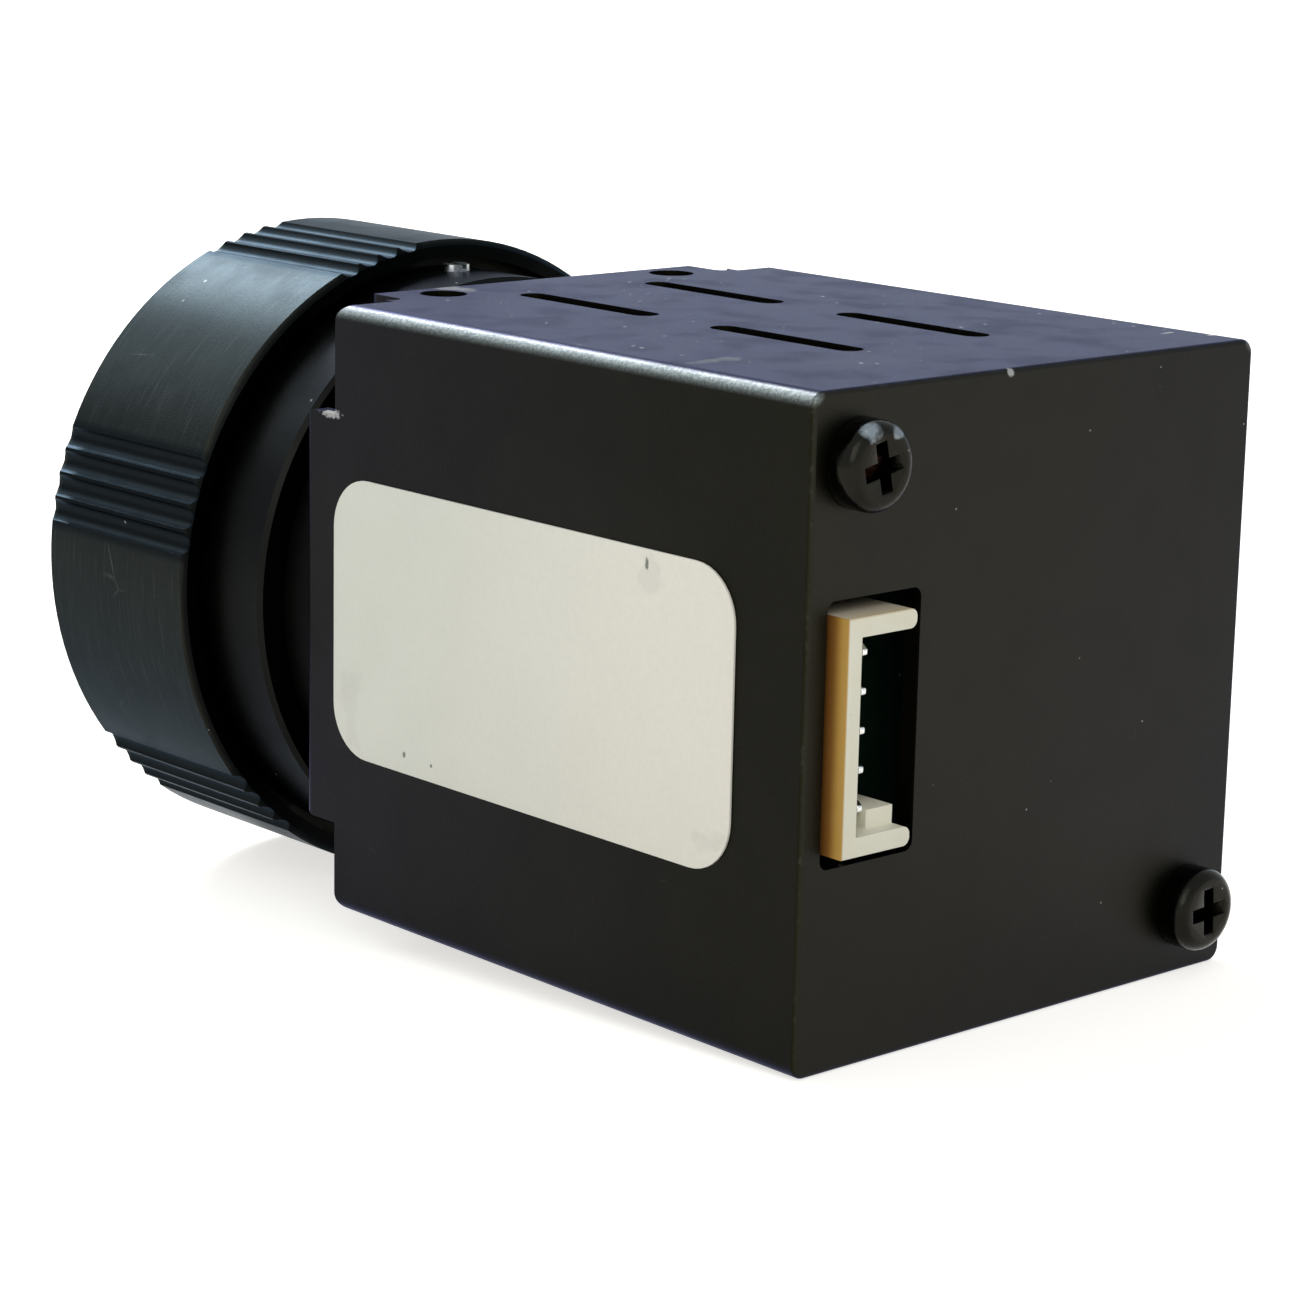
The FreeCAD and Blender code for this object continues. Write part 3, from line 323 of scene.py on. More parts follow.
# marks on the housing, in millimetres: rubbed long bends brightened as a painted highlight, dusty top, smears (the
# front-tab one a painted highlight), a few chips, and a rear face lightened as painted light
housingMarks = {
    "centre": (0, -1.02, 13.0), "half": (12.3, 15.175, 13.0), "wearWidth": 0.22, "wear": (0.10, 0.10, 0.095, 1),
    "wearAmount": 0.30, "wearBreakup": 2600.0, "smearTear": (900.0, 0.6), "chipTear": (5200.0, 0.35),
    "cornerX": 12.3, "cornerZ": 26.0, "rubAndHighlight": (0.20, 0.22, 0.205, 1), "rubReach": (0.28, 0.62),
    "rubStart": (0.02, 0.13), "rubScale": 7500.0, "rubHighlightAmount": 0.88, "topLevel": (25.95, 25.99),
    "filmScale": 520.0, "filmAmount": 0.03,
    "speckScale": 2100.0, "speckCoverage": 0.34, "speckSize": 0.21, "speckAmount": 1.5,
    "smears": (((9.9, 6.3, 26.0), (1.4, 0.7, 0.5), 0.24), ((5.3, 9.4, 26.0), (3.0, 2.2, 0.5), 0.05),
               # the smear on the front tab is a painted highlight, a light patch on the tab's front edge
               ((5.0, -15.8, 26.0), (0.8, 1.5, 0.5), 0.40)), "paintedLitRearLevel": (14.0, 14.14),
    "back": (0.0265, 0.0252, 0.0190, 1), "paintedLitRearAmount": 0.68,
    "chips": (((2.0, 14.1, 25.85), (0.20, 0.2, 0.2)), ((-10.6, 11.1, 26.0), (0.4, 0.12, 0.3)),
              ((-11.6, 12.5, 26.0), (0.2, 0.2, 0.3)), ((12.2, -14.45, 21.42), (0.5, 0.75, 0.24)))}


def markHousing(tree, place, colour, bare):
    look = housingMarks
    x, y, z = splitAxes(tree, place)
    wear = useBoxWear(tree, place, look)
    colour = mixColour(tree, maths(tree, "MULTIPLY", wear["Mask"], look["wearAmount"]), colour, look["wear"])
    # painted light: the rear face is made lighter than the sides to stand in for the brighter light falling on it
    back = rampSpan(tree, y, look["paintedLitRearLevel"])
    colour = mixColour(tree, maths(tree, "MULTIPLY", back, look["paintedLitRearAmount"]), colour, look["back"])
    # the long upper bends are rubbed thin and speckled; the rub is also a painted highlight, made brighter and
    # weighted down the bend to where the highlight falls
    across = maths(tree, "SUBTRACT", look["cornerX"] * mm, maths(tree, "ABSOLUTE", x))
    below = maths(tree, "SUBTRACT", look["cornerZ"] * mm, z)
    offset = addNode(tree, "ShaderNodeCombineXYZ")
    feed(tree, offset.inputs[0], across)
    feed(tree, offset.inputs[1], below)
    corner = vectorMaths(tree, "LENGTH", offset.outputs[0]).outputs["Value"]
    bend = rampSpan(tree, corner, look["rubReach"], fromZero=False)
    bend = maths(tree, "MULTIPLY", bend, rampSpan(tree, below, look["rubStart"]))
    speckle = ramp(tree, noise(tree, place, look["rubScale"], 3.0, 0.6), 0.38, 0.62)
    rubAndHighlight = maths(tree, "MULTIPLY", bend, maths(tree, "MULTIPLY_ADD", speckle, 0.4, 0.6))
    colour = mixColour(tree, maths(tree, "MULTIPLY", rubAndHighlight, look["rubHighlightAmount"]), colour, look["rubAndHighlight"])
    # a dusty film, specks and a few smears lie on the top only; the smear on the front tab is a painted highlight
    top = rampSpan(tree, z, look["topLevel"])
    patches = ramp(tree, noise(tree, place, look["filmScale"], 3.0, 0.6), 0.44, 0.72)
    film = maths(tree, "MULTIPLY", patches, look["filmAmount"])
    strewn = maths(tree, "MULTIPLY_ADD", patches, 0.8, 0.2)
    specks = useEffect(tree, "dust", place, Scale=look["speckScale"], Coverage=look["speckCoverage"],
                       Size=look["speckSize"])["Mask"]
    specks = maths(tree, "MULTIPLY", maths(tree, "MULTIPLY", specks, strewn), look["speckAmount"])
    film = maths(tree, "ADD", film, specks)
    for point, reach, amount in look["smears"]:
        smear = useMark(tree, place, point, reach, *look["smearTear"])
        film = maths(tree, "ADD", film, maths(tree, "MULTIPLY", smear, amount))
    bare = maths(tree, "MAXIMUM", bare, maths(tree, "MULTIPLY", film, top), clamp=True)
    for point, reach in look["chips"]:
        chip = useMark(tree, place, point, reach, *look["chipTear"])
        bare = maths(tree, "MAXIMUM", bare, chip)
    return colour, bare


# the ring's grooved groups and rear rim are darkened as painted shade, and turning left fine marks round it
ringMarks = {"axisZ": 12.6, "groups": 6, "firstGroup": 15.3, "groupHalf": (0.155, 0.185),
             "groove": (0.0062, 0.0066, 0.0062, 1), "grooveAmount": 0.86, "rimShadeY": (-22.42, -22.20),
             "bevelY": (-32.50, -32.40), "rim": (0.003, 0.0034, 0.0034, 1), "rimShadeAmount": 0.9,
             "turnStretch": (420.0, 9000.0, 420.0), "turnTone": (0.045, 0.047, 0.046, 1), "turnAmount": 0.35}


def markRing(tree, place, colour, bare):
    look = ringMarks
    x, y, z = splitAxes(tree, place)
    angle = maths(tree, "ARCTAN2", maths(tree, "SUBTRACT", z, look["axisZ"] * mm), x)
    step = 2 * math.pi / look["groups"]
    turned = maths(tree, "ADD", angle, 2 * math.pi + step / 2 - math.radians(look["firstGroup"]))
    away = maths(tree, "ABSOLUTE", maths(tree, "SUBTRACT", maths(tree, "MODULO", turned, step), step / 2))
    group = ramp(tree, away, *look["groupHalf"], fromZero=False)
    group = maths(tree, "MULTIPLY", group, rampSpan(tree, y, look["bevelY"]))
    marks = noise(tree, vectorMaths(tree, "MULTIPLY", place, look["turnStretch"]).outputs[0], 1.0, 3.0, 0.6)
    marks = maths(tree, "MULTIPLY", ramp(tree, marks, 0.5, 0.78), look["turnAmount"])
    colour = mixColour(tree, marks, colour, look["turnTone"])
    # painted shade: the grooved groups are darkened to damp their crest highlights
    colour = mixColour(tree, maths(tree, "MULTIPLY", group, look["grooveAmount"]), colour, look["groove"])
    # painted shade on the ring's rear rim, which lies in the housing's shadow
    rim = maths(tree, "MULTIPLY", rampSpan(tree, y, look["rimShadeY"]), look["rimShadeAmount"])
    return mixColour(tree, rim, colour, look["rim"]), bare


anodise("black_anodised_housing", markHousing)
anodise("black_anodised_chassis")
anodise("black_anodised_lens")
anodise("black_anodised_ring", markRing)
print("anodised finishes ready")


# everything else: name -> colours, roughness, grain and the plain settings of its shader
plainDust = {"scale": 1500.0, "size": 0.2, "amount": 0.7, "tone": (0.4, 0.4, 0.4, 1)}
plainMarkTear = (1500.0, 0.4)
plainFinishes = {
    "black_screw_steel": {"dark": (0.009, 0.0088, 0.0075, 1), "light": (0.022, 0.0205, 0.016, 1), "metal": 1.0,
                          "rough": 0.25, "grainScale": 6000.0, "cloudScale": 420.0, "depth": 0.008,
                          "dustCoverage": 0.10,
                          "marks": (((9.9, 14.75, 23.2), (0.9, 0.75, 0.9), (0.060, 0.024, 0.014, 1), 0.9),
                                    # painted highlights: two pale patches on the upper screw's dome; the mark above
                                    # is rust in its recess
                                    ((10.5, 15.3, 24.55), (0.55, 0.5, 0.42), (0.30, 0.34, 0.36, 1), 0.75),
                                    ((9.1, 15.3, 24.45), (0.42, 0.5, 0.36), (0.24, 0.27, 0.29, 1), 0.7))},
    "spring_steel": {"dark": (0.40, 0.40, 0.41, 1), "light": (0.58, 0.58, 0.59, 1), "metal": 1.0, "rough": 0.3,
                     "grainScale": 7000.0, "cloudScale": 300.0, "depth": 0.004, "dustCoverage": 0.05},
    "guide_screw_steel": {"dark": (0.42, 0.44, 0.46, 1), "light": (0.6, 0.62, 0.63, 1), "metal": 1.0,
                          "rough": 0.3, "grainScale": 6000.0, "cloudScale": 500.0, "depth": 0.004,
                          "dustCoverage": 0.05},
    "black_rubber": {"dark": (0.012, 0.012, 0.012, 1), "light": (0.022, 0.022, 0.022, 1), "metal": 0.0,
                     "rough": 0.7, "grainScale": 5000.0, "cloudScale": 200.0, "depth": 0.01,
                     "dustCoverage": 0.12},
    "black_sheet": {"dark": (0.014, 0.014, 0.014, 1), "light": (0.024, 0.024, 0.024, 1), "metal": 0.0,
                    "rough": 0.6, "grainScale": 8000.0, "cloudScale": 200.0, "depth": 0.006,
                    "dustCoverage": 0.05},
    "actuator_black": {"dark": (0.02, 0.02, 0.02, 1), "light": (0.035, 0.035, 0.035, 1), "metal": 0.0,
                       "rough": 0.45, "grainScale": 7000.0, "cloudScale": 200.0, "depth": 0.006,
                       "dustCoverage": 0.05},
    "ceramic_package": {"dark": (0.28, 0.27, 0.26, 1), "light": (0.38, 0.36, 0.34, 1), "metal": 0.0,
                        "rough": 0.5, "grainScale": 9000.0, "cloudScale": 260.0, "depth": 0.004,
                        "dustCoverage": 0.02},
    "circuit_board": {"dark": (0.003, 0.012, 0.007, 1), "light": (0.005, 0.020, 0.011, 1), "metal": 0.0,
                      "rough": 0.42, "grainScale": 2600.0, "cloudScale": 500.0, "depth": 0.012,
                      "dustCoverage": 0.05},
    "chip_black": {"dark": (0.018, 0.018, 0.020, 1), "light": (0.030, 0.030, 0.032, 1), "metal": 0.0,
                   "rough": 0.5, "grainScale": 9000.0, "cloudScale": 200.0, "depth": 0.006,
                   "dustCoverage": 0.04},
    "ferrite_grey": {"dark": (0.12, 0.12, 0.12, 1), "light": (0.2, 0.2, 0.2, 1), "metal": 0.0, "rough": 0.6,
                     "grainScale": 7000.0, "cloudScale": 200.0, "depth": 0.01, "dustCoverage": 0.05},
    "tantalum_yellow": {"dark": (0.55, 0.33, 0.06, 1), "light": (0.68, 0.42, 0.09, 1), "metal": 0.0,
                        "rough": 0.4, "grainScale": 7000.0, "cloudScale": 200.0, "depth": 0.004,
                        "dustCoverage": 0.03},
    "connector_black": {"dark": (0.015, 0.015, 0.015, 1), "light": (0.026, 0.026, 0.026, 1), "metal": 0.0,
                        "rough": 0.45, "grainScale": 7000.0, "cloudScale": 200.0, "depth": 0.006,
                        "dustCoverage": 0.05},
    "spacer_brass": {"dark": (0.50, 0.36, 0.13, 1), "light": (0.66, 0.48, 0.2, 1), "metal": 1.0, "rough": 0.3,
                     "grainScale": 5000.0, "cloudScale": 300.0, "depth": 0.006, "dustCoverage": 0.03},
    "tinned_pins": {"dark": (0.60, 0.60, 0.58, 1), "light": (0.78, 0.78, 0.76, 1), "metal": 1.0, "rough": 0.22,
                    "grainScale": 7000.0, "cloudScale": 700.0, "depth": 0.004, "dustCoverage": 0.02},
}


def finishPlain(name):
    look = plainFinishes[name]
    tree, shader, place = startMaterial(name)
    grain = useEffect(tree, "grain", place, Grain_Scale=look["grainScale"], Cloud_Scale=look["cloudScale"])
    dust = useEffect(tree, "dust", place, Scale=plainDust["scale"], Coverage=look["dustCoverage"],
                     Size=plainDust["size"])["Mask"]
    colour = mixColour(tree, grain["Cloud"], look["dark"], look["light"])
    # marks are stains and, on the upper screw, painted highlights
    for point, reach, tone, amount in look.get("marks", ()):
        mark = useMark(tree, place, point, reach, *plainMarkTear)
        colour = mixColour(tree, maths(tree, "MULTIPLY", mark, amount), colour, tone)
    cover = maths(tree, "MULTIPLY", dust, plainDust["amount"])
    feed(tree, shader.inputs["Base Color"], mixColour(tree, cover, colour, plainDust["tone"]))
    shader.inputs["Metallic"].default_value = look["metal"]
    wobble = maths(tree, "MULTIPLY", maths(tree, "SUBTRACT", grain["Blotch"], 0.5), 0.12)
    feed(tree, shader.inputs["Roughness"], maths(tree, "ADD", wobble, look["rough"], clamp=True))
    roughen(tree, shader, grain["Grain"], look["depth"] * mm)


for name in plainFinishes:
    finishPlain(name)


# dark germanium with its coating, a little dust on the dome
germanium = {"dark": (0.020, 0.030, 0.052, 1), "light": (0.034, 0.040, 0.064, 1), "edgeTint": (0.7, 0.85, 1.0, 1),
             "rough": 0.06, "blotchRough": 0.05, "grainScale": 3000.0, "cloudScale": 90.0, "dustScale": 700.0,
             "dustCoverage": 0.10, "dustSize": 0.10, "dustAmount": 0.5, "dustRough": 0.4,
             "dust": (0.4, 0.4, 0.4, 1)}


def finishGermanium():
    look = germanium
    tree, shader, place = startMaterial("coated_germanium")
    grain = useEffect(tree, "grain", place, Grain_Scale=look["grainScale"], Cloud_Scale=look["cloudScale"])
    dust = useEffect(tree, "dust", place, Scale=look["dustScale"], Coverage=look["dustCoverage"],
                     Size=look["dustSize"])["Mask"]
    colour = mixColour(tree, grain["Cloud"], look["dark"], look["light"])
    cover = maths(tree, "MULTIPLY", dust, look["dustAmount"])
    feed(tree, shader.inputs["Base Color"], mixColour(tree, cover, colour, look["dust"]))
    shader.inputs["Metallic"].default_value = 1.0
    shader.inputs["Specular Tint"].default_value = look["edgeTint"]
    smudged = maths(tree, "ADD", maths(tree, "MULTIPLY", grain["Blotch"], look["blotchRough"]), look["rough"])
    dusted = maths(tree, "MULTIPLY", dust, look["dustRough"])
    feed(tree, shader.inputs["Roughness"], maths(tree, "ADD", smudged, dusted))


finishGermanium()


# pale sticker: faint fibre tone, greyed edge as painted shade, a rear end lightened as painted light, a few specks
# and one smudge by its upper edge
labelPaper = {
    "warm": (0.645, 0.640, 0.556, 1), "cool": (0.695, 0.690, 0.625, 1), "rear": (0.790, 0.758, 0.665, 1),
    "paintedLightY": (-10.0, 9.0), "edge": (0.48, 0.47, 0.43, 1),
    "speck": (0.06, 0.06, 0.055, 1), "smudge": (0.42, 0.41, 0.37, 1),
    "centre": (12.35, -1.85, 12.95), "half": (0.5, 12.25, 5.95), "wearWidth": 0.28, "wearBreakup": 1800.0,
    "rough": 0.42, "blotchRough": 0.12, "shine": 0.35, "grainScale": 5200.0, "cloudScale": 85.0,
    "grainDepth": 0.006, "grainStrength": 0.7, "dustScale": 620.0, "dustCoverage": 0.09, "dustSize": 0.09,
    "fibreSpan": (0.35, 0.75), "fibreAmount": 0.10, "smudgeTear": (1100.0, 0.6), "smudgeAmount": 0.16,
    "edgeAmount": 0.22, "wearAmount": 0.30, "dustAmount": 0.35, "speckTear": (4200.0, 0.25), "speckAmount": 0.8,
    "specks": (((12.4, -9.26, 7.81), (0.3, 0.14, 0.17)), ((12.4, -7.47, 7.71), (0.3, 0.08, 0.09)),
               ((12.4, 5.5, 18.35), (0.3, 0.12, 0.30))),
    "smudges": (((12.4, 5.6, 17.9), (0.3, 0.9, 0.8)), ((12.4, -12.9, 9.2), (0.3, 0.7, 1.6)),
                ((12.4, 9.3, 8.2), (0.3, 1.0, 0.5)))}


def finishLabel():
    look = labelPaper
    tree, shader, place = startMaterial("label_paper")
    grain = useEffect(tree, "grain", place, Grain_Scale=look["grainScale"], Cloud_Scale=look["cloudScale"])
    dust = useEffect(tree, "dust", place, Scale=look["dustScale"], Coverage=look["dustCoverage"],
                     Size=look["dustSize"])["Mask"]
    edge = useBoxWear(tree, place, look)
    colour = mixColour(tree, grain["Cloud"], look["warm"], look["cool"])
    # painted light: the sticker grows lighter toward its rear end
    colour = mixColour(tree, rampSpan(tree, splitAxes(tree, place)[1], look["paintedLightY"]), colour, look["rear"])
    fibre = maths(tree, "MULTIPLY", ramp(tree, grain["Grain"], *look["fibreSpan"]), look["fibreAmount"])
    colour = mixColour(tree, fibre, colour, look["edge"])
    for point, reach in look["smudges"]:
        mark = useMark(tree, place, point, reach, *look["smudgeTear"])
        colour = mixColour(tree, maths(tree, "MULTIPLY", mark, look["smudgeAmount"]), colour, look["smudge"])
    # painted shade: a grey band round the sticker's edge
    colour = mixColour(tree, maths(tree, "MULTIPLY", edge["Edge"], look["edgeAmount"]), colour, look["edge"])
    colour = mixColour(tree, maths(tree, "MULTIPLY", edge["Mask"], look["wearAmount"]), colour, look["smudge"])
    colour = mixColour(tree, maths(tree, "MULTIPLY", dust, look["dustAmount"]), colour, look["smudge"])
    for point, reach in look["specks"]:
        mark = useMark(tree, place, point, reach, *look["speckTear"])
        colour = mixColour(tree, maths(tree, "MULTIPLY", mark, look["speckAmount"]), colour, look["speck"])
    feed(tree, shader.inputs["Base Color"], colour)
    wobble = maths(tree, "MULTIPLY", grain["Blotch"], look["blotchRough"])
    feed(tree, shader.inputs["Roughness"], maths(tree, "ADD", wobble, look["rough"]))
    shader.inputs["Specular IOR Level"].default_value = look["shine"]
    roughen(tree, shader, grain["Grain"], look["grainDepth"] * mm, look["grainStrength"])


finishLabel()


# natural nylon: cream rims, amber where the side wall has yellowed; painted shade darkens the socket's deep end and
# the amber toward the housing
nylon = {"cream": (0.74, 0.70, 0.53, 1), "pale": (0.82, 0.80, 0.68, 1), "amber": (0.47, 0.265, 0.045, 1),
         "shadedAmber": (0.20, 0.080, 0.014, 1), "sideX": (10.88, 10.98), "topZ": (17.56, 17.63), "topShare": 0.4,
         "amberY": (14.15, 14.75), "dustAndShade": (0.20, 0.17, 0.11, 1), "shadeDepthY": (11.6, 13.6), "rough": 0.36,
         "blotchRough": 0.12, "grainScale": 3600.0, "cloudScale": 420.0, "grainDepth": 0.006,
         "dustScale": 1500.0, "dustCoverage": 0.15, "dustSize": 0.2, "dustAmount": 0.3, "shadeAmount": 0.85}


def finishNylon():
    look = nylon
    tree, shader, place = startMaterial("header_nylon")
    grain = useEffect(tree, "grain", place, Grain_Scale=look["grainScale"], Cloud_Scale=look["cloudScale"])
    dust = useEffect(tree, "dust", place, Scale=look["dustScale"], Coverage=look["dustCoverage"],
                     Size=look["dustSize"])["Mask"]
    x, y, z = splitAxes(tree, place)
    colour = mixColour(tree, grain["Cloud"], look["cream"], look["pale"])
    # painted shade deep in the socket
    shadedDepth = rampSpan(tree, y, look["shadeDepthY"], fromZero=False)
    colour = mixColour(tree, maths(tree, "MULTIPLY", shadedDepth, look["shadeAmount"]), colour, look["dustAndShade"])
    side = rampSpan(tree, x, look["sideX"])
    over = maths(tree, "MULTIPLY", rampSpan(tree, z, look["topZ"]), look["topShare"])
    # painted shade: the amber darkens toward the housing
    amber = mixColour(tree, rampSpan(tree, y, look["amberY"]), look["shadedAmber"], look["amber"])
    colour = mixColour(tree, maths(tree, "MAXIMUM", side, over), colour, amber)
    cover = maths(tree, "MULTIPLY", dust, look["dustAmount"])
    feed(tree, shader.inputs["Base Color"], mixColour(tree, cover, colour, look["dustAndShade"]))
    wobble = maths(tree, "MULTIPLY", grain["Blotch"], look["blotchRough"])
    feed(tree, shader.inputs["Roughness"], maths(tree, "ADD", wobble, look["rough"]))
    roughen(tree, shader, grain["Grain"], look["grainDepth"] * mm)


finishNylon()
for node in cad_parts.values():
    slotName = node.material_slots[0].material.name.split(".")[0]
    node.material_slots[0].material = bpy.data.materials[slotName]
print("all finishes ready")


# modelling helpers
def clearSelection():
    if bpy.context.object and bpy.context.object.mode != "OBJECT":
        bpy.ops.object.mode_set(mode="OBJECT")
    bpy.ops.object.select_all(action="DESELECT")


def pickPart(part):
    clearSelection()
    part.select_set(True)
    bpy.context.view_layer.objects.active = part


def settle(part):
    pickPart(part)
    bpy.ops.object.transform_apply(location=True, rotation=True, scale=True)


def selectWhere(part, element, test):
    # selects faces or edges by place, and leaves the part in edit mode
    bpy.ops.object.mode_set(mode="EDIT")
    bpy.ops.mesh.select_mode(type=element)
    bpy.ops.mesh.select_all(action="DESELECT")
    bpy.ops.object.mode_set(mode="OBJECT")
    mesh = part.data
    if element == "FACE":
        for face in mesh.polygons:
            face.select = test(face.center, face.normal)
    else:
        for edge in mesh.edges:
            a, b = (mesh.vertices[i].co for i in edge.vertices)
            edge.select = test(a, b)
    bpy.ops.object.mode_set(mode="EDIT")


def leaveEdit():
    bpy.ops.object.mode_set(mode="OBJECT")


def applyModifier(part, kind, **settings):
    pickPart(part)
    bpy.ops.object.modifier_add(type=kind)
    modifier = part.modifiers[-1]
    for name, value in settings.items():
        setattr(modifier, name, value)
    bpy.ops.object.modifier_apply(modifier=modifier.name)


def cutWith(part, cutter):
    applyModifier(part, "BOOLEAN", operation="DIFFERENCE", object=cutter, solver="EXACT")
    bpy.data.objects.remove(cutter)


def smoothPart(part, angle=35.0):
    pickPart(part)
    bpy.ops.object.shade_smooth_by_angle(angle=math.radians(angle))


def mergeSlivers(part, nearest=0.002):
    # closes up the needle faces that a bevel leaves where cuts meet
    pickPart(part)
    bpy.ops.object.mode_set(mode="EDIT")
    bpy.ops.mesh.select_all(action="SELECT")
    bpy.ops.mesh.remove_doubles(threshold=nearest * mm)
    bpy.ops.mesh.dissolve_degenerate(threshold=nearest * mm)
    leaveEdit()


def copyPart(part, name):
    twin = part.copy()
    twin.data = part.data.copy()
    twin.name = name
    scene.collection.objects.link(twin)
    return twin


def dress(part, name, slotName, body, node):
    part.name = name
    part.data.name = name
    part.data.materials.clear()
    part.data.materials.append(bpy.data.materials[slotName])
    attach(part, body)
    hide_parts(node)
    clearSelection()


def boxBetween(low, high):
    clearSelection()
    middle = (Vector(low) + Vector(high)) / 2
    bpy.ops.mesh.primitive_cube_add(size=1, location=middle)
    part = bpy.context.object
    part.scale = [abs(h - l) for l, h in zip(low, high)]
    settle(part)
    return part


# pan-head screws with a tapered cross recess
rearScrew = {"headRadius": 1.72, "headHeight": 1.3, "crown": 0.50, "crownSegments": 8, "shankRadius": 0.95,
             "armSpan": 2.24, "armWidth": 0.58, "depth": 0.85, "taper": 0.62, "cutAbove": 0.4, "edgeMargin": 0.02,
             "seatBevel": 0.06, "recessBevel": 0.04, "seatY": 14.15,
             "places": ((9.9, 23.2, 12.0), (-9.9, 2.8, 4.0)), "shankLength": 5.0}


def makeRearScrew(x, z, turn):
    look = rearScrew
    seat, top = look["seatY"] * mm, (look["seatY"] + look["headHeight"]) * mm
    clearSelection()
    bpy.ops.mesh.primitive_cylinder_add(vertices=72, radius=look["headRadius"] * mm, depth=look["headHeight"] * mm,
                                        location=(0, (seat + top) / 2, 0), rotation=(math.radians(90), 0, 0))
    screw = bpy.context.object
    settle(screw)
    selectWhere(screw, "EDGE", lambda a, b: min(a.y, b.y) > top - 1e-6)
    bpy.ops.mesh.bevel(offset=look["crown"] * mm, segments=look["crownSegments"], profile=0.5)
    leaveEdit()
    selectWhere(screw, "EDGE", lambda a, b: max(a.y, b.y) < seat + 1e-6)
    bpy.ops.mesh.bevel(offset=look["seatBevel"] * mm, segments=2)
    leaveEdit()
    selectWhere(screw, "FACE", lambda c, n: n.y < -0.99)
    bpy.ops.mesh.inset(thickness=(look["headRadius"] - look["shankRadius"]) * mm)
    bpy.ops.mesh.extrude_region_move(TRANSFORM_OT_translate={"value": (0, -look["shankLength"] * mm, 0)})
    leaveEdit()
    half, reach = look["armWidth"] / 2, look["armSpan"] / 2
    for wide, tall in ((reach, half), (half, reach)):
        cutter = boxBetween([-wide * mm, top - look["depth"] * mm, -tall * mm],
                            [wide * mm, top + look["cutAbove"] * mm, tall * mm])
        selectWhere(cutter, "FACE", lambda c, n: n.y < -0.9)
        narrow = [1 if span == half else look["taper"] for span in (wide, tall)]
        bpy.ops.transform.resize(value=(narrow[0], 1, narrow[1]), center_override=(0, top, 0))
        leaveEdit()
        cutWith(screw, cutter)
    limit = (reach + look["edgeMargin"]) * mm
    selectWhere(screw, "EDGE", lambda a, b: min(a.y, b.y) > top - 1e-6
                and max(abs(a.x), abs(a.z), abs(b.x), abs(b.z)) < limit)
    bpy.ops.mesh.bevel(offset=look["recessBevel"] * mm, segments=2)
    leaveEdit()
    screw.rotation_euler = (0, math.radians(turn), 0)
    screw.location = (x * mm, 0, z * mm)
    settle(screw)
    mergeSlivers(screw)
    smoothPart(screw)
    return screw


upperScrew, lowerScrew = [makeRearScrew(*spot) for spot in rearScrew["places"]]
dress(upperScrew, "rear_screw_upper", "black_screw_steel", "camera_body", "rear_screws")
dress(lowerScrew, "rear_screw_lower", "black_screw_steel", "camera_body", "rear_screws")
print("rear screws made")


# lens elements: spun domes with a flat rim; the front one has a hollow back
lenses = {"front_lens": {"name": "front_lens_dome", "curve": 28.0, "backCurve": 45.0, "edge": 2.4},
          "rear_lens": {"name": "rear_lens_dome", "curve": 20.0, "backCurve": None, "edge": 1.4}}
lensMesh = {"rimBevel": 0.08, "rings": 18, "steps": 128, "axisWidth": 0.0001}


def makeLens(node):
    look = lenses[node]
    low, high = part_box(node)
    middle, radius = (low.z + high.z) / 2, (high.x - low.x) / 2
    curve, bevel = look["curve"] * mm, lensMesh["rimBevel"] * mm
    edgeY, backY = high.y - look["edge"] * mm, high.y
    dome = math.sqrt(curve ** 2 - (curve - (edgeY - low.y)) ** 2)
    reaches = [dome * step / lensMesh["rings"] for step in range(lensMesh["rings"] + 1)]
    outline = [(reach, low.y + curve - math.sqrt(curve ** 2 - reach ** 2)) for reach in reaches]
    outline += [(radius - bevel, edgeY), (radius, edgeY + bevel), (radius, backY)]
    if look["backCurve"]:
        backCurve = look["backCurve"] * mm
        hollowY = backY + math.sqrt(backCurve ** 2 - dome ** 2)
        outline += [(reach, hollowY - math.sqrt(backCurve ** 2 - reach ** 2)) for reach in reversed(reaches)]
    else:
        outline += [(dome, backY), (0, backY)]
    clearSelection()
    bpy.ops.mesh.primitive_circle_add(vertices=len(outline), radius=mm, fill_type="NOTHING")
    lens = bpy.context.object
    for point, (reach, depthY) in zip(lens.data.vertices, outline):
        point.co = (reach, depthY, middle)
    onAxis = lensMesh["axisWidth"] * mm
    selectWhere(lens, "EDGE", lambda a, b: a.x < onAxis and b.x < onAxis)
    bpy.ops.mesh.delete(type="EDGE")
    bpy.ops.mesh.select_all(action="SELECT")
    bpy.ops.mesh.spin(steps=lensMesh["steps"], angle=2 * math.pi, center=(0, 0, middle), axis=(0, 1, 0))
    bpy.ops.mesh.select_all(action="SELECT")
    bpy.ops.mesh.remove_doubles(threshold=onAxis)
    bpy.ops.mesh.normals_make_consistent(inside=False)
    leaveEdit()
    smoothPart(lens, 30)
    return lens


for node, look in lenses.items():
    dress(makeLens(node), look["name"], "coated_germanium", "lens_cell", node)
print("lenses made")


# sticker with rounded corners and a softened rim
sticker = {"cornerRadius": 2.2, "cornerSegments": 10, "rim": 0.03}


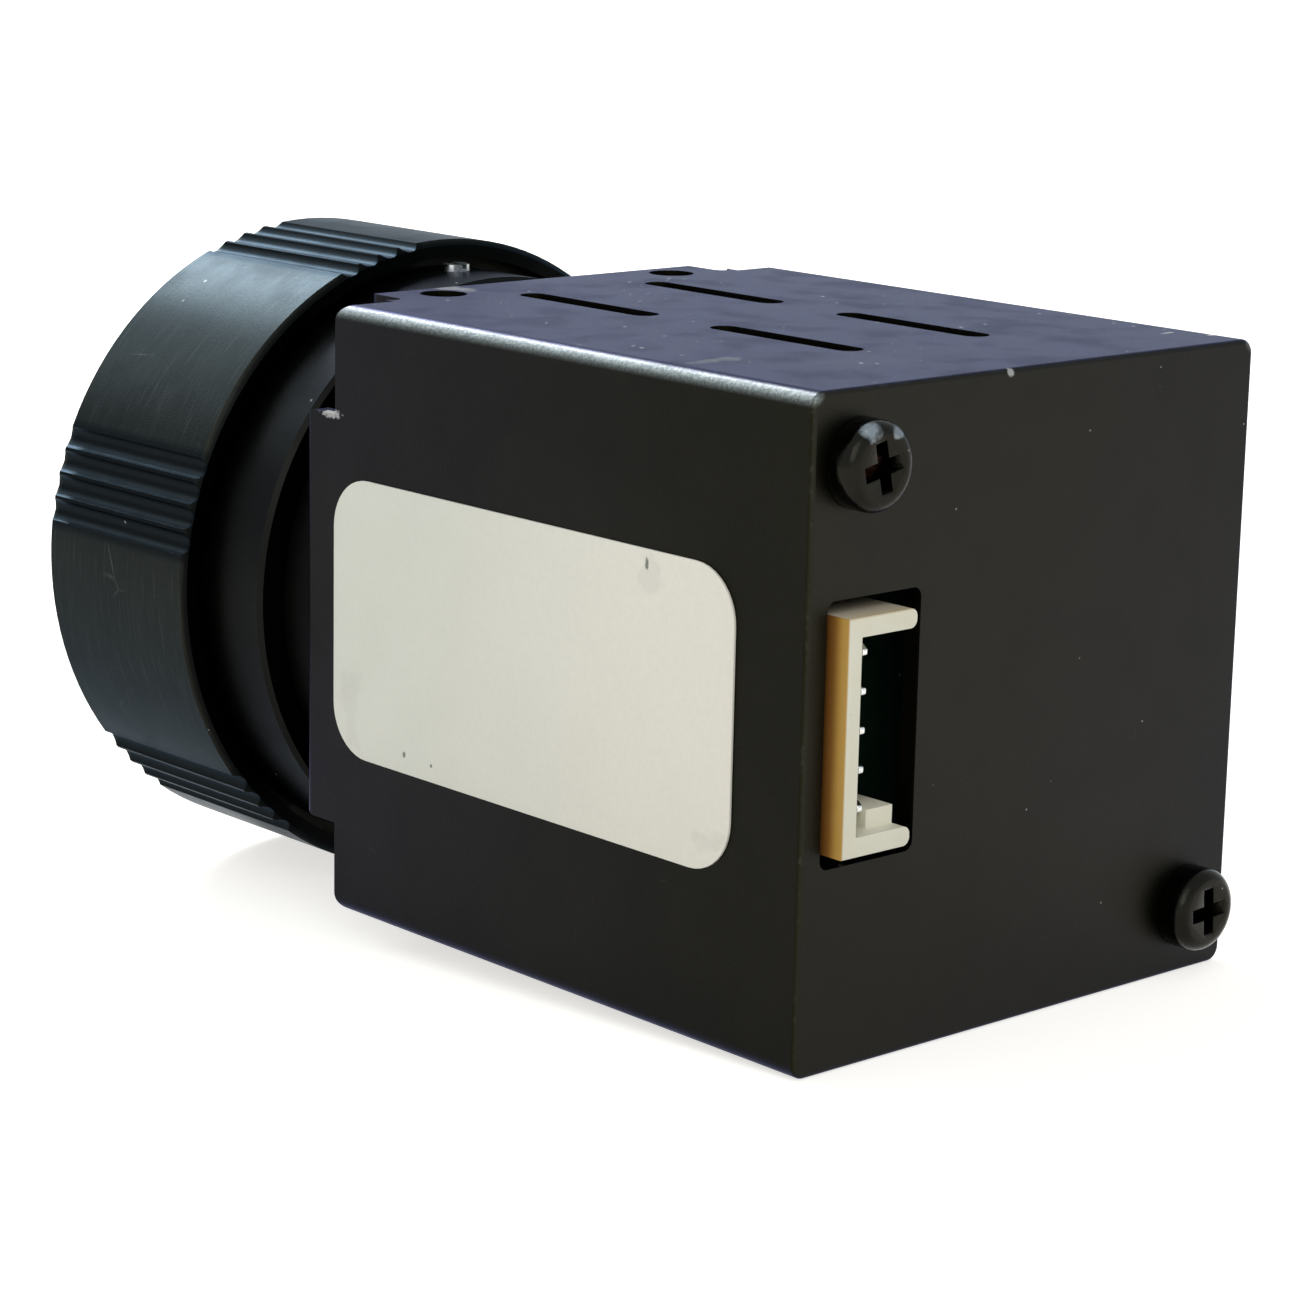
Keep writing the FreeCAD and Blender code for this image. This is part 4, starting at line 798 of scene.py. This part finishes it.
def makeSticker():
    low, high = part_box("side_label")
    clearSelection()
    bpy.ops.mesh.primitive_plane_add(size=1, location=(low.x, (low.y + high.y) / 2, (low.z + high.z) / 2),
                                     rotation=(0, math.radians(90), 0))
    part = bpy.context.object
    part.scale = (high.z - low.z, high.y - low.y, 1)
    settle(part)
    bpy.ops.object.mode_set(mode="EDIT")
    bpy.ops.mesh.select_mode(type="VERT")
    bpy.ops.mesh.select_all(action="SELECT")
    bpy.ops.mesh.bevel(offset=sticker["cornerRadius"] * mm, segments=sticker["cornerSegments"],
                       affect="VERTICES")
    bpy.ops.mesh.select_all(action="SELECT")
    bpy.ops.mesh.extrude_region_move(TRANSFORM_OT_translate={"value": (high.x - low.x, 0, 0)})
    leaveEdit()
    selectWhere(part, "EDGE", lambda a, b: min(a.x, b.x) > high.x - 1e-7)
    bpy.ops.mesh.bevel(offset=sticker["rim"] * mm, segments=3)
    bpy.ops.mesh.select_all(action="SELECT")
    bpy.ops.mesh.normals_make_consistent(inside=False)
    leaveEdit()
    smoothPart(part, 50)
    return part


dress(makeSticker(), "blank_label", "label_paper", "camera_body", "side_label")
print("label made")


# five-way header: hollow box, one wall lowered, rounded end walls, one rib, soft rims
header = {"wall": 0.75, "floor": 1.3, "lowSideDrop": 3.2, "ribSpan": (-1.55, -0.15), "ribHeight": 0.72,
          "ribDrop": 0.7, "endRound": 0.32, "soften": 0.10}


def makeHeader():
    look = header
    low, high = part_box("connector_header")
    wall = look["wall"] * mm
    part = boxBetween(low, high)
    step = high.y - look["lowSideDrop"] * mm
    cutter = boxBetween([low.x + wall, low.y + look["floor"] * mm, low.z + wall],
                        [high.x - wall, high.y + mm, high.z - wall])
    selectWhere(cutter, "FACE", lambda c, n: True)
    bpy.ops.mesh.bisect(plane_co=(0, step, 0), plane_no=(0, 1, 0))
    leaveEdit()
    selectWhere(cutter, "FACE", lambda c, n: n.x < -0.9 and c.y > step)
    bpy.ops.mesh.extrude_region_move(TRANSFORM_OT_translate={"value": (-wall - mm, 0, 0)})
    leaveEdit()
    cutWith(part, cutter)
    selectWhere(part, "EDGE", lambda a, b: max(a.x, b.x) < low.x + 1e-6 and abs(a.z - b.z) < 1e-6
                and max(a.y, b.y) > high.y - 1e-6)
    bpy.ops.mesh.bevel(offset=look["endRound"] * mm, segments=6)
    leaveEdit()
    middle = (low.x + high.x) / 2
    ribStart, ribEnd = (middle + reach * mm for reach in look["ribSpan"])
    rib = boxBetween([ribStart, low.y + look["floor"] * mm / 2, low.z + wall / 2],
                     [ribEnd, high.y - look["ribDrop"] * mm, low.z + wall + look["ribHeight"] * mm])
    applyModifier(part, "BOOLEAN", operation="UNION", object=rib, solver="EXACT")
    bpy.data.objects.remove(rib)
    applyModifier(part, "BEVEL", width=look["soften"] * mm, segments=3, limit_method="ANGLE",
                  angle_limit=math.radians(40))
    mergeSlivers(part)
    smoothPart(part, 40)
    return part


dress(makeHeader(), "header_shell", "header_nylon", "camera_body", "connector_header")


# square pins with drawn-out tips
pinShape = {"count": 5, "pitch": 1.5, "side": 0.5, "tip": 0.35, "tipScale": 0.45, "soften": 0.05}


def makePins():
    low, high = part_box("connector_pins")
    centreX = (low.x + high.x) / 2
    half = pinShape["side"] / 2 * mm
    first = boxBetween([centreX - half, low.y, low.z],
                       [centreX + half, high.y - pinShape["tip"] * mm, low.z + 2 * half])
    selectWhere(first, "FACE", lambda c, n: n.y > 0.9)
    bpy.ops.mesh.extrude_region_move(TRANSFORM_OT_translate={"value": (0, pinShape["tip"] * mm, 0)})
    bpy.ops.transform.resize(value=(pinShape["tipScale"], 1, pinShape["tipScale"]),
                             center_override=(centreX, high.y, low.z + half))
    leaveEdit()
    applyModifier(first, "BEVEL", width=pinShape["soften"] * mm, segments=2, limit_method="ANGLE",
                  angle_limit=math.radians(40))
    smoothPart(first, 40)
    pins = [first]
    for index in range(1, pinShape["count"]):
        pin = copyPart(first, "pin")
        pin.location = (0, 0, index * pinShape["pitch"] * mm)
        settle(pin)
        pins.append(pin)
    return pins


for index, pin in enumerate(makePins()):
    dress(pin, "header_pin_%d" % (index + 1), "tinned_pins", "camera_body", "connector_pins")
print("socket made")


# camera at the photograph's angle
view = {"place": (0.10420, 0.10736, 0.04636), "right": (-0.74503, 0.66670, 0.02082),
        "up": (-0.13355, -0.17967, 0.97462), "back": (0.65352, 0.72335, 0.22290), "lens": 102.43}
cameraData = bpy.data.cameras.new("studioCamera")
cameraData.lens = view["lens"]
cameraData.sensor_width = 36.0
cameraData.clip_start = 0.005
camera = bpy.data.objects.new("studioCamera", cameraData)
scene.collection.objects.link(camera)
columns = [view["right"], view["up"], view["back"], view["place"]]
camera.matrix_world = Matrix([[column[row] for column in columns] for row in range(3)] + [[0, 0, 0, 1]])
scene.camera = camera


# pale floor under the ring's lower edge and the housing's rear edge
stage = {"size": 3.0, "lowY": -22.15, "lowZ": -1.9, "highY": 14.15, "floor": (0.71, 0.70, 0.67, 1), "lift": 0.66,
         "liftColour": (1.0, 0.985, 0.955, 1), "ambient": 0.62, "ambientColour": (0.95, 0.98, 1.0, 1),
         "airColour": (0.88, 0.95, 1.0, 1), "lampTarget": (0, -0.005, 0.012)}


def whiteRays(tree):
    rays = addNode(tree, "ShaderNodeLightPath").outputs
    straight = maths(tree, "ADD", rays["Is Camera Ray"], rays["Is Glossy Ray"])
    return rays["Is Camera Ray"], maths(tree, "ADD", straight, rays["Is Transmission Ray"], clamp=True)


def makeFloor():
    clearSelection()
    bpy.ops.mesh.primitive_plane_add(size=stage["size"])
    floor = bpy.context.object
    slope = math.atan2(-stage["lowZ"], stage["highY"] - stage["lowY"])
    floor.rotation_euler = (slope, 0, 0)
    floor.location = (0, stage["lowY"] * mm, (stage["lowZ"] - 0.02) * mm)
    settle(floor)
    floor.name = "studio_floor"
    material = bpy.data.materials.new("studio_floor")
    material.use_nodes = True
    tree = material.node_tree
    tree.nodes.clear()
    matt = addNode(tree, "ShaderNodeBsdfDiffuse")
    feed(tree, matt.inputs["Color"], stage["floor"])
    glow = addNode(tree, "ShaderNodeEmission")
    feed(tree, glow.inputs["Color"], stage["liftColour"])
    feed(tree, glow.inputs["Strength"], maths(tree, "MULTIPLY", whiteRays(tree)[1], stage["lift"]))
    both = addNode(tree, "ShaderNodeAddShader")
    output = addNode(tree, "ShaderNodeOutputMaterial")
    tree.links.new(matt.outputs[0], both.inputs[0])
    tree.links.new(glow.outputs[0], both.inputs[1])
    tree.links.new(both.outputs[0], output.inputs[0])
    floor.data.materials.append(material)


def makeWorld():
    world = bpy.data.worlds.new("studioAir")
    scene.world = world
    world.use_nodes = True
    tree = world.node_tree
    tree.nodes.clear()
    soft = addNode(tree, "ShaderNodeBackground")
    feed(tree, soft.inputs["Color"], stage["ambientColour"])
    soft.inputs["Strength"].default_value = stage["ambient"]
    white = addNode(tree, "ShaderNodeBackground")
    direct, seen = whiteRays(tree)
    feed(tree, white.inputs["Color"], mixColour(tree, direct, stage["airColour"], (1, 1, 1, 1)))
    pick = addNode(tree, "ShaderNodeMixShader")
    output = addNode(tree, "ShaderNodeOutputWorld")
    feed(tree, pick.inputs[0], seen)
    tree.links.new(soft.outputs[0], pick.inputs[1])
    tree.links.new(white.outputs[0], pick.inputs[2])
    tree.links.new(pick.outputs[0], output.inputs[0])


# soft lamps: where each stands, its size and strength
lamps = {
    "windowLamp": {"place": (-0.11, -0.52, 0.37), "size": 0.17, "power": 2.9, "colour": (1.0, 0.98, 0.94)},
    "skyLamp": {"place": (0.15, -0.51, 0.37), "size": 0.28, "power": 0.9, "colour": (0.90, 0.97, 1.0)},
    "fillLamp": {"place": (0.50, 0.48, 0.42), "size": 0.5, "power": 1.6, "colour": (1.0, 0.99, 0.97)},
}


def makeLamps():
    for name, look in lamps.items():
        data = bpy.data.lights.new(name, "AREA")
        data.shape = "SQUARE"
        data.size = look["size"]
        data.energy = look["power"]
        data.color = look["colour"]
        lamp = bpy.data.objects.new(name, data)
        scene.collection.objects.link(lamp)
        lamp.location = look["place"]
        towards = Vector(stage["lampTarget"]) - Vector(look["place"])
        lamp.rotation_euler = towards.to_track_quat("-Z", "Y").to_euler()


makeFloor()
makeWorld()
makeLamps()
scene.view_settings.view_transform = "Standard"
print("stage ready")

clearSelection()
